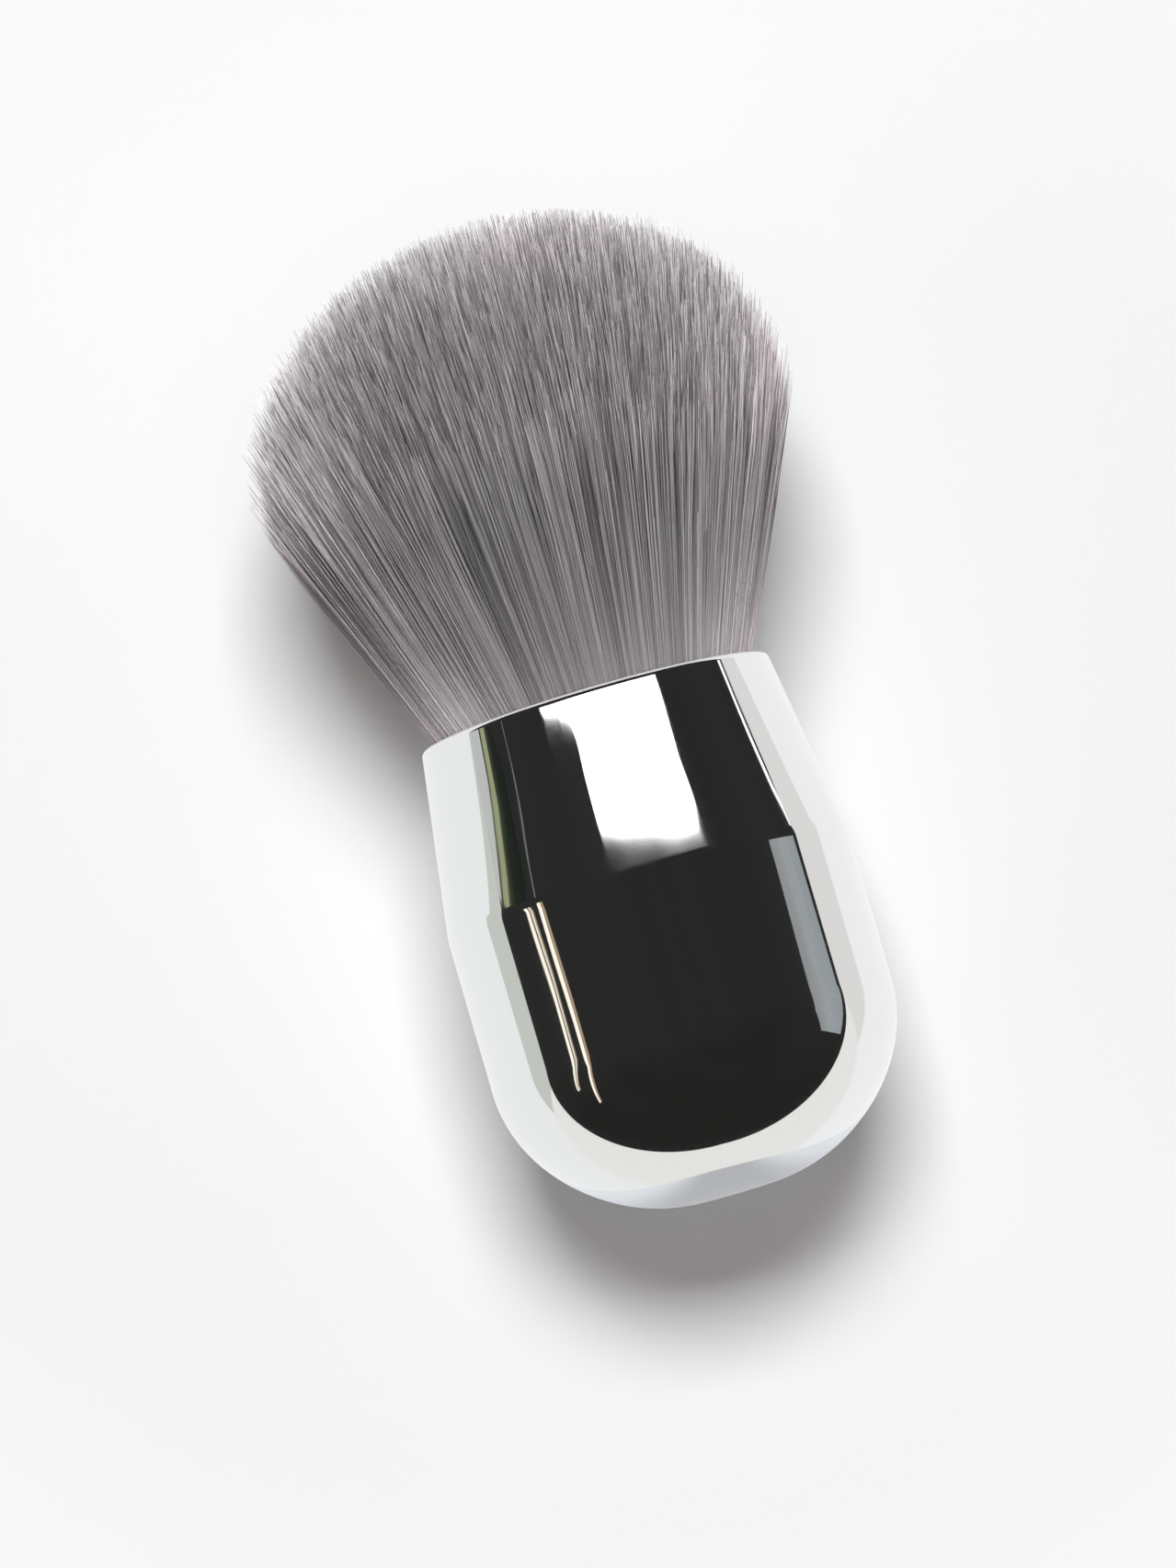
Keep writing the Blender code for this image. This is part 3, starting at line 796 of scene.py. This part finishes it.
def root_slice(shares, sector):
    """A closed block of the root between two shares of its radius and two shares of a turn."""
    bm = bmesh.new()
    steps = round(SLICE_STEPS * 6 * (sector[1] - sector[0]))
    turns = [2 * math.pi * (sector[0] + (sector[1] - sector[0]) * i / steps) for i in range(steps + 1)]
    if steps > SLICE_STEPS:
        turns = turns[:-1]
    inner, outer = shares[0] * ROOT_RADIUS, min(1.0, shares[1]) * ROOT_RADIUS
    levels = [(-ROOT_DEPTH, outer), (ROOT_BOTTOM, outer)]
    if shares[1] >= 1.0:
        collar = -ROOT_DEPTH - COLLAR_HEIGHT
        waist = outer - WAIST_DEPTH
        levels[1:] = [(collar, outer), (collar - WAIST_SHOULDER, waist), (ROOT_BOTTOM, waist)]
    rings = [slice_ring(bm, inner, radius, turns, height) for height, radius in levels]
    for above, below in zip(rings, rings[1:]):
        for i in range(len(above)):
            bm.faces.new((above[i - 1], above[i], below[i], below[i - 1]))
    bm.faces.new(rings[0])
    bm.faces.new(list(reversed(rings[-1])))
    bmesh.ops.recalc_face_normals(bm, faces=bm.faces[:])
    return bm


print("root", round(ROOT_RADIUS * 2000, 1), "mm across")

# %% [markdown]
# Growing the thirteen tufts
#
# One loop makes them all: the centre, six of the middle ring and six of the outer ring. For each it
# sets the tree's inputs on a modifier, by the socket's identifier, lets Blender work the strands out,
# keeps only the plain mesh and takes the modifier away.

# %% Grow one tuft
SLICE_SHARES = (0.0, 0.25, 0.625, 1.0)
SECTORS = 6
SOCKETS = {s.name: s.identifier for s in grow.interface.items_tree if s.in_out == "INPUT"}


def grow_strands(name, shares, sector):
    """The strands of one tuft as a plain mesh, still upright."""
    host = into_scene(name, bpy.data.meshes.new(name))
    modifier = host.modifiers.new("grow", "NODES")
    modifier.node_group = grow
    limits = dict(zip(PART_LIMITS, (*shares, *sector)))
    for label, value in {**HAIR, **limits, "Material": fibre}.items():
        modifier[SOCKETS[label]] = value
    depsgraph = bpy.context.evaluated_depsgraph_get()
    mesh = bpy.data.meshes.new_from_object(host.evaluated_get(depsgraph))
    host.modifiers.remove(modifier)
    bpy.data.objects.remove(host)
    for spare in SPARE:
        if spare in mesh.attributes:
            mesh.attributes.remove(mesh.attributes[spare])
    mesh.shade_smooth()
    return mesh


def grow_tuft(name, node, shares, sector):
    """One tuft: its strands joined to its slice of the root, laid down and shown."""
    strands = grow_strands(name, shares, sector)
    count = len(strands.vertices) // (STRAND_POINTS * STRAND_SIDES)
    bm = root_slice(shares, sector)
    for face in bm.faces:
        face.material_index = 1
    block = bpy.data.meshes.new(name + "_root")
    bm.to_mesh(block)
    bm.free()
    joined = bmesh.new()
    joined.from_mesh(strands)
    joined.from_mesh(block)
    joined.to_mesh(strands)
    joined.free()
    bpy.data.meshes.remove(block)
    strands.materials.clear()
    strands.materials.append(fibre)
    strands.materials.append(resin)
    strands.name = name
    strands.transform(LAY_DOWN)
    show(name, strands, [node])
    return count, sum(len(p.vertices) - 2 for p in strands.polygons)


print("a tuft is grown with", len(SOCKETS), "inputs")

# %% Grow them all
total = [0, 0]
jobs = [("hair_centre", "tuft_centre", (0.0, SLICE_SHARES[1]), (0.0, 1.0))]
for ring, shares in (("mid", SLICE_SHARES[1:3]), ("outer", SLICE_SHARES[2:4])):
    for i in range(SECTORS):
        turns = (i / SECTORS, (i + 1) / SECTORS)
        jobs.append((f"hair_{ring}_{i + 1}", f"tuft_{ring}_{i + 1}", shares, turns))
for name, node, shares, sector in jobs:
    count, triangles = grow_tuft(name, node, shares, sector)
    total[0] += count
    total[1] += triangles
    print(f"{name}: {count} strands, {triangles} triangles")
print(f"{total[0]} strands, {total[1]} triangles in all")

# %% [markdown]
# The pieces inside the handle
#
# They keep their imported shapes, and none shows while the brush is whole, but each still gets the finish
# of its own stuff: milky hot-melt glue, a tumbled steel slug, black moulded plastic, drawn aluminium and
# wound thread. One small tree of noise on the object's own coordinates makes them all.

# %% Finishes for the inner pieces
FINISHES = {
    "glue_bed": ("milky_glue", (0.50, 0.43, 0.29), (0.72, 0.67, 0.54), 500.0, (0.25, 0.45)),
    "weight_slug": ("tumbled_steel", (0.33, 0.33, 0.34), (0.56, 0.56, 0.57), 900.0, (0.30, 0.55), 1.0),
    "core_sleeve": ("black_moulding", (0.035, 0.035, 0.037), (0.070, 0.070, 0.074), 1500.0, (0.42, 0.60)),
    "knot_cup": (
        "drawn_aluminium", (0.62, 0.63, 0.64), (0.78, 0.79, 0.80), 700.0, (0.22, 0.40), 1.0, (1, 0.05, 1),
    ),
    "binding_thread": (
        "wound_thread", (0.52, 0.48, 0.41), (0.80, 0.76, 0.68), 400.0, (0.75, 0.95), 0.0, (1, 12, 1),
    ),
}


def speckled(name, dark, light, scale, roughness, metallic=0.0, stretch=(1.0, 1.0, 1.0)):
    """A material whose colour, roughness and bump follow one noise, stretched along an axis if asked."""
    made, nodes, place = new_material(name)
    turned = out("ShaderNodeMapping", {"Vector": place, "Scale": stretch})
    grain = noise(turned, scale, 4.0)
    bump = out("ShaderNodeBump", {"Height": grain, "Strength": 0.4, "Distance": 0.0001})
    fill(nodes["Principled BSDF"], {
        "Base Color": mix_colour(grain, (*dark, 1.0), (*light, 1.0)),
        "Metallic": metallic,
        "Roughness": ramp(grain, 0.0, 1.0, *roughness),
        "Normal": bump,
    })
    return made


for node, look in FINISHES.items():
    mesh = frame["nodes"][node].data
    mesh.materials.clear()
    mesh.materials.append(speckled(*look))
    print(node, "gets", look[0])

# %% [markdown]
# The white sheet, as the camera and as the mirror see it
#
# The brush lies on white card. Close to it the sheet is lit and shaded, so that the brush keeps its soft
# shadow. Further out it fades to one plain white, for the camera only, and a second, much larger sheet
# carries that white on to the horizon.
#
# The mirror has to see more. Its sides show the card around it: whitest close by, a grey step to the
# left and right where the light falls off, warmer in front, and a bluish patch where the brush shades
# it. The card's corner points to the viewer, and past its edges the room is dark. All that is painted on
# the sheet for mirror rays alone, so it adds no light to the brush.

# %% The sheet's outline
SHEET_LEFT, SHEET_RIGHT, SHEET_CORNER, SHEET_BACK = -0.45, 0.47, -0.195, 1.2
FLOOR_DROP = 0.00005
SWEEP_HALF = 3.0


def flat_piece(name, corners, height):
    """A flat stage piece from its corners, counter-clockwise."""
    mesh = bpy.data.meshes.new(name)
    mesh.from_pydata([(x, y, height) for x, y in corners], [], [tuple(range(len(corners)))])
    made = into_scene(name, mesh)
    return made


sheet = flat_piece("sheet", [
    (SHEET_LEFT, 0.0), (0.0, SHEET_CORNER), (SHEET_RIGHT, 0.0),
    (SHEET_RIGHT, SHEET_BACK), (SHEET_LEFT, SHEET_BACK),
], -FLOOR_DROP)
sweep = flat_piece("sweep", [
    (x * SWEEP_HALF, y * SWEEP_HALF) for x, y in ((-1, -1), (1, -1), (1, 1), (-1, 1))
], -2 * FLOOR_DROP)
sweep.visible_glossy = False
print("sheet corner at", SHEET_CORNER * 1000, "mm")

# %% The card's paint
CARD = (0.940, 0.940, 0.940, 1.0)
BACKDROP = (0.945, 0.947, 0.947, 1.0)
NEAR, FAR = 0.056, 0.088
MIRROR_WHITE = (0.915, 0.930, 0.925, 1.0)
MIRROR_LEFT_GREY = (0.610, 0.635, 0.590, 1.0)
MIRROR_RIGHT_WHITE = (0.955, 0.955, 0.955, 1.0)
MIRROR_RIGHT_GREY = (0.790, 0.780, 0.765, 1.0)
MIRROR_CREAM = (0.890, 0.880, 0.860, 1.0)
MIRROR_SHADE = (0.500, 0.508, 0.528, 1.0)
MIRROR_SHADE_EDGE = (0.820, 0.842, 0.880, 1.0)
RIGHT_WHITE_AT = (0.0, 0.010)
LEFT_GREY_AT, LEFT_BEND_AT, LEFT_BEND = (0.0995, 0.1015), 0.0085, 2.68
RIGHT_GREY_AT, RIGHT_SLANT = (0.0725, 0.0745), -1.2
CREAM_AT = (0.0575, 0.0640)
SHADE_CENTRE, SHADE_HALF = (-0.0005, -0.0480), (0.0158, 0.0296)


def mirror_paint(x, y):
    """The colours that the card shows in the mirror."""
    colour = mix_colour(step_between(x, *RIGHT_WHITE_AT), MIRROR_WHITE, MIRROR_RIGHT_WHITE)
    behind = calc("MAXIMUM", minus(y, LEFT_BEND_AT), 0.0)
    bent = linear(behind, LEFT_BEND, x)
    left = step_between(times(bent, -1.0), *LEFT_GREY_AT)
    colour = mix_colour(left, colour, MIRROR_LEFT_GREY)
    slanted = linear(calc("MAXIMUM", y, 0.0), RIGHT_SLANT, x)
    colour = mix_colour(step_between(slanted, *RIGHT_GREY_AT), colour, MIRROR_RIGHT_GREY)
    front = step_between(times(y, -1.0), *CREAM_AT)
    colour = mix_colour(front, colour, MIRROR_CREAM)
    across, ahead = [
        calc("DIVIDE", minus(value, centre), half)
        for value, centre, half in zip((x, y), SHADE_CENTRE, SHADE_HALF)
    ]
    squares = calc("ADD", calc("POWER", across, 2.0), calc("POWER", ahead, 2.0))
    shade = ramp(calc("SQRT", squares), 0.98, 1.02, 1.0, 0.0, "SMOOTHSTEP")
    toward_side = step_between(calc("ABSOLUTE", across), 0.25, 0.95)
    shade_colour = mix_colour(toward_side, MIRROR_SHADE, MIRROR_SHADE_EDGE)
    return mix_colour(shade, colour, shade_colour)


print("in the mirror the card is grey past", LEFT_GREY_AT[1] * 1000, "and", RIGHT_GREY_AT[1] * 1000, "mm")


# %% The card's material
def card_material(name, whole):
    """White card: shaded near the brush, plain white further out, and painted for mirror rays."""
    made, nodes, place = new_material(name)
    nodes.remove(nodes["Principled BSDF"])
    xyz = parts(place)
    rays = add("ShaderNodeLightPath").outputs
    fibres = noise(place, 900.0, 4.0)
    bump = out("ShaderNodeBump", {"Height": fibres, "Strength": 0.05, "Distance": 0.0001})
    lit = out("ShaderNodeBsdfDiffuse", {"Color": CARD, "Normal": bump})
    white = out("ShaderNodeEmission", {"Color": BACKDROP})
    from_origin = {0: place, 1: (0.0, 0.0, 0.0)}
    away = add("ShaderNodeVectorMath", from_origin, operation="DISTANCE").outputs["Value"]
    fade = step_between(away, NEAR, FAR) if whole else 1.0
    to_camera = times(fade, rays["Is Camera Ray"])
    seen = out("ShaderNodeMixShader", {0: to_camera, 1: lit, 2: white})
    painted = out("ShaderNodeEmission", {"Color": mirror_paint(xyz[0], xyz[1])})
    mirrored = calc("MAXIMUM", rays["Is Glossy Ray"], rays["Is Transmission Ray"])
    surface = out("ShaderNodeMixShader", {0: mirrored, 1: seen, 2: painted})
    fill(nodes["Material Output"], {"Surface": surface})
    return made


sheet.data.materials.append(card_material("card", True))
sweep.data.materials.append(card_material("far_card", False))
print("the card fades to plain white between", NEAR * 1000, "and", FAR * 1000, "mm from the middle")

# %% [markdown]
# The room
#
# Above the card the photographer's room is dark: it is the black band down the middle of the handle. So
# the world is almost black for all but the camera, which sees the same white as the card, and lamps
# give all the light. Their places can be read off the mirror.

# %% World
ROOM_FRONT = (0.0190, 0.0190, 0.0180, 1.0)
ROOM_ABOVE = (0.0265, 0.0270, 0.0268, 1.0)

world = bpy.data.worlds.new("room")
bpy.context.scene.world = world
world.use_nodes = True
trees.append(world.node_tree)
heading = add("ShaderNodeTexCoord").outputs["Generated"]
shapes = noise(heading, 1.9, 1.0)
forward = parts(heading)[1]
lift = linear(shapes, 0.9, times(forward, 0.55))
room = mix_colour(ramp(lift, 0.10, 0.75), ROOM_FRONT, ROOM_ABOVE)
seen = out("ShaderNodeBackground", {"Color": BACKDROP})
dark = out("ShaderNodeBackground", {"Color": room})
camera_ray = add("ShaderNodeLightPath").outputs["Is Camera Ray"]
mixed = out("ShaderNodeMixShader", {0: camera_ray, 1: dark, 2: seen})
fill(world.node_tree.nodes["World Output"], {"Surface": mixed})
print("room between", ROOM_FRONT[0], "and", ROOM_ABOVE[0])

# %% [markdown]
# Lamps
#
# The shadow falls towards the base, reaches ten millimetres past the handle and has a fairly crisp end,
# while its sides hug the brush. So the key lamp is a softbox about twenty degrees behind the zenith,
# where the cone shows one too. A second, slightly warm lamp as high in front lights the shadow's core,
# and two weak ones, low at the sides, stand for the white surroundings.
#
# Each lamp's power is worked out from the share of full light that it gives at the brush. With shares
# that add up to about one, a colour renders about as it is written.

# %% Lamps that light the brush
WARM = (1.0, 0.940, 0.925)
LAMPS = {
    "key_lamp": ((0.07, 0.52, 1.40), (0.66, 0.50), 0.790, (0.985, 1.0, 1.0)),
    "fill_lamp": ((0.0, -0.26, 1.40), (0.9, 0.9), 0.110, WARM),
    "left_bounce": ((-1.3, -0.1, 0.36), (1.0, 0.5), 0.050, WARM),
    "right_bounce": ((1.3, 0.1, 0.36), (1.0, 0.5), 0.030, WARM),
}
LAMP_CELLS = 12


def area_lamp(name, centre, size, share, colour):
    """A lamp that looks at the brush and gives it this share of full light, unseen by camera and mirror."""
    centre = Vector(centre)
    turn = (-centre).to_track_quat("-Z", "Y").to_matrix()
    steps = [(i + 0.5) / LAMP_CELLS - 0.5 for i in range(LAMP_CELLS)]
    light = 0.0
    for across in steps:
        for along in steps:
            spot = centre + turn @ Vector((across * size[0], along * size[1], 0.0))
            leaving = spot.normalized().dot(centre.normalized())
            light += spot.normalized().z * leaving / spot.length_squared
    area = size[0] * size[1]
    radiance = share * math.pi / (light * area / LAMP_CELLS**2)
    data = bpy.data.lights.new(name, "AREA")
    data.shape = "RECTANGLE"
    data.size, data.size_y = size
    data.color = colour
    data.energy = radiance * math.pi * area
    lamp = into_scene(name, data)
    lamp.matrix_world = Matrix.Translation(centre) @ turn.to_4x4()
    lamp.visible_camera = False
    lamp.visible_glossy = False
    print(f"{name}: share {share}, radiance {radiance:.2f}, {data.energy:.1f} W")


for name, lamp in LAMPS.items():
    area_lamp(name, *lamp)

# %% [markdown]
# What the mirror shows
#
# The rest of the room is known only from the handle. Each shape in it was followed back by reflection to
# a direction, and a glowing card stands there, seen by mirror rays alone. The broad white shape in the
# cone is the softbox. The twin lines on the left are two warm tubes, the panel on the right is a grey
# card, and the lines at the cone's sides are the edges of the set and of a door.
#
# A card is a small grid of directions. Its value `across` runs from 0 on one side to 1 on the other,
# and a colour ramp reads it, which gives soft edges or the stripes of a tube.

# %% Glowing cards
CARD_DISTANCE = 5.0
UPRIGHT_STEPS, OVERHEAD_STEPS = 4, 24


def glow(name, strength, stops):
    """A material that glows with a colour ramp across the card, a little uneven along it."""
    made, nodes, place = new_material(name)
    nodes.remove(nodes["Principled BSDF"])
    across = add("ShaderNodeAttribute", attribute_name="across").outputs["Fac"]
    colours = add("ShaderNodeValToRGB", {"Fac": across})
    elements = colours.color_ramp.elements
    elements.remove(elements[0])
    for i, (position, colour) in enumerate(stops):
        stop = elements[0] if i == 0 else elements.new(position)
        stop.position = position
        stop.color = (*colour, 1.0)
    uneven = linear(noise(place, 9.0, 2.0), 0.3, 0.85)
    bright = times(uneven, strength)
    light = out("ShaderNodeEmission", {"Color": colours.outputs["Color"], "Strength": bright})
    fill(nodes["Material Output"], {"Surface": light})
    made.cycles.emission_sampling = "NONE"
    return made


def mirror_card(name, seen_from, rows, strength, stops):
    """A glowing card made of rows of directions, as seen from one point of the handle."""
    width = len(rows[0])
    spots = [Vector(seen_from) + way * CARD_DISTANCE for row in rows for way in row]
    faces = [
        (r * width + c, r * width + c + 1, (r + 1) * width + c + 1, (r + 1) * width + c)
        for r in range(len(rows) - 1) for c in range(width - 1)
    ]
    mesh = bpy.data.meshes.new(name)
    mesh.from_pydata(spots, [], faces)
    across = mesh.attributes.new("across", "FLOAT", "POINT")
    across.data.foreach_set("value", [c / (width - 1) for row in rows for c in range(width)])
    mesh.materials.append(glow(name + "_glow", strength, stops))
    card = into_scene(name, mesh)
    card.visible_camera = False
    card.visible_diffuse = False
    card.visible_shadow = False


print("cards stand", CARD_DISTANCE, "m away")


# %% Directions for the cards
def plain(*colour):
    """The stops of a card in one colour."""
    return [(0.0, colour), (1.0, colour)]


def toward(azimuth, elevation):
    """The direction at an azimuth, from +Y round to +X, and an elevation, both in degrees."""
    turn, rise = math.radians(azimuth), math.radians(elevation)
    return Vector((math.cos(rise) * math.sin(turn), math.cos(rise) * math.cos(turn), math.sin(rise)))


def upright(*rows):
    """Rows of directions from (azimuth, low elevation, high elevation) in degrees."""
    steps = [i / UPRIGHT_STEPS for i in range(UPRIGHT_STEPS + 1)]
    return [[toward(turn, low + (high - low) * t) for t in steps] for turn, low, high in rows]


def overhead(*rows):
    """Rows of directions from (left x, left y, right x, right y) on the unit sphere."""
    steps = [i / OVERHEAD_STEPS for i in range(OVERHEAD_STEPS + 1)]
    ways = []
    for left, left_y, far_right, right_y in rows:
        spots = [(left + (far_right - left) * t, left_y + (right_y - left_y) * t) for t in steps]
        ways.append([Vector((x, y, math.sqrt(max(0.0, 1 - x * x - y * y)))) for x, y in spots])
    return ways


print("straight ahead is", tuple(toward(0.0, 0.0)))

# %% The softbox
CONE_TOP = (0.0, -0.008, 0.034)
WHITE, HALF_WHITE = (1.0, 1.0, 1.0), (0.5, 0.5, 0.5)

mirror_card("softbox_card", CONE_TOP, overhead(
    (-0.315, 0.2900, 0.530, 0.2828), (-0.337, 0.2905, 0.552, 0.2832), (-0.341, 0.2930, 0.588, 0.2872),
    (-0.338, 0.2980, 0.580, 0.2925), (-0.322, 0.3030, 0.600, 0.2985), (-0.335, 0.3052, 0.612, 0.3020),
    (-0.420, 0.3066, 0.616, 0.3045), (-0.560, 0.3074, 0.620, 0.3060), (-0.590, 0.3090, 0.620, 0.3090),
), 3.6, [(0.0, HALF_WHITE), (0.012, WHITE), (0.988, WHITE), (1.0, HALF_WHITE)])
print("softbox over the cone")

# %% The tubes and lines on the left
BELLY_LEFT = (-0.010, -0.022, 0.0285)
CONE_LEFT = (-0.012, -0.008, 0.0270)
TUBE_GLOW = 1.3
CREAM = (0.92, 0.86, 0.74)
TAN = (0.36, 0.30, 0.22)
RUST = (0.42, 0.26, 0.16)
UMBER = (0.09, 0.07, 0.05)

mirror_card("tube_low", BELLY_LEFT, upright(
    (-82.0, 12.8, 18.4), (-86.9, 14.4, 19.6), (-87.6, 16.0, 20.9), (-88.2, 15.5, 20.2),
    (-92.0, 15.0, 18.9), (-104.5, 10.2, 12.9), (-107.0, 9.6, 12.0),
), TUBE_GLOW, [
    (0.0, UMBER), (0.10, CREAM), (0.40, CREAM), (0.48, UMBER), (0.58, UMBER), (0.68, CREAM), (0.84, TAN),
    (1.0, UMBER),
])
mirror_card("tube_high", BELLY_LEFT, upright(
    (-80.0, 22.3, 26.4), (-86.9, 22.9, 26.8), (-87.6, 23.0, 27.4), (-88.3, 24.0, 28.2),
    (-96.0, 24.0, 26.9), (-110.0, 18.6, 21.6), (-121.0, 13.6, 15.6),
), TUBE_GLOW, [
    (0.0, UMBER), (0.08, CREAM), (0.52, CREAM), (0.62, UMBER), (0.72, RUST), (0.86, TAN), (1.0, UMBER),
])
mirror_card("set_edge_left", CONE_LEFT, upright(
    (-71.8, -6.0, 4.4), (-72.7, -6.0, 4.4), (-73.0, -6.0, 4.4), (-73.4, -6.0, 2.7),
    (-73.8, -6.0, 0.4), (-74.2, -6.0, -2.1),
), 1.0, plain(0.57, 0.58, 0.57))
mirror_card("olive_line", CONE_LEFT, upright(
    (-71.8, 4.6, 17.0), (-72.5, 4.6, 17.0), (-72.9, 4.6, 16.5), (-73.3, 2.9, 14.5), (-73.8, 0.6, 13.0),
    (-74.2, -1.9, 10.0),
), 1.0, [
    (0.0, (0.03, 0.03, 0.02)), (0.05, (0.06, 0.07, 0.03)), (0.10, (0.33, 0.35, 0.20)),
    (0.30, (0.38, 0.40, 0.26)), (0.38, (0.05, 0.06, 0.035)), (0.60, (0.018, 0.024, 0.018)),
    (1.0, (0.015, 0.018, 0.015)),
])
mirror_card("door_edge", CONE_LEFT, upright(
    (-70.4, 22.0, 22.6), (-70.9, 23.4, 24.0), (-71.3, 23.1, 23.7), (-72.1, 21.1, 21.7), (-72.7, 20.6, 21.2),
), 0.22, plain(1.0, 1.0, 0.95))
print("left side: two tubes and three lines")

# %% The card and lines on the right
BELLY_RIGHT = (0.012, -0.022, 0.0260)
CONE_RIGHT = (0.012, -0.008, 0.0270)

mirror_card("grey_card", BELLY_RIGHT, upright(
    (84.8, -1.0, 16.8), (87.1, -1.1, 17.4), (88.2, -1.9, 19.0), (101.0, -3.2, 17.3), (113.0, -4.0, 11.1),
), 1.0, [(0.0, (0.32, 0.35, 0.36)), (0.55, (0.36, 0.385, 0.40)), (1.0, (0.30, 0.31, 0.31))])
mirror_card("set_edge_right", CONE_RIGHT, upright(
    (72.5, -8.0, -2.9), (73.5, -8.0, -2.7), (73.7, -8.0, -2.4), (73.9, -8.0, -2.7), (74.2, -8.0, -3.1),
    (74.5, -8.0, -3.9), (74.7, -8.0, -5.3), (75.0, -8.0, -6.2),
), 1.0, plain(0.69, 0.69, 0.68))
mirror_card("white_line", CONE_RIGHT, upright(
    (72.5, -1.4, 0.6), (73.5, -1.3, 0.7), (73.7, -1.0, 0.9), (73.9, -1.2, 0.8), (74.2, -1.7, 0.3),
    (74.5, -2.5, -0.5), (74.7, -4.0, -2.0), (75.0, -4.9, -3.1),
), 1.2, plain(*WHITE))
print("right side: one card and two lines")
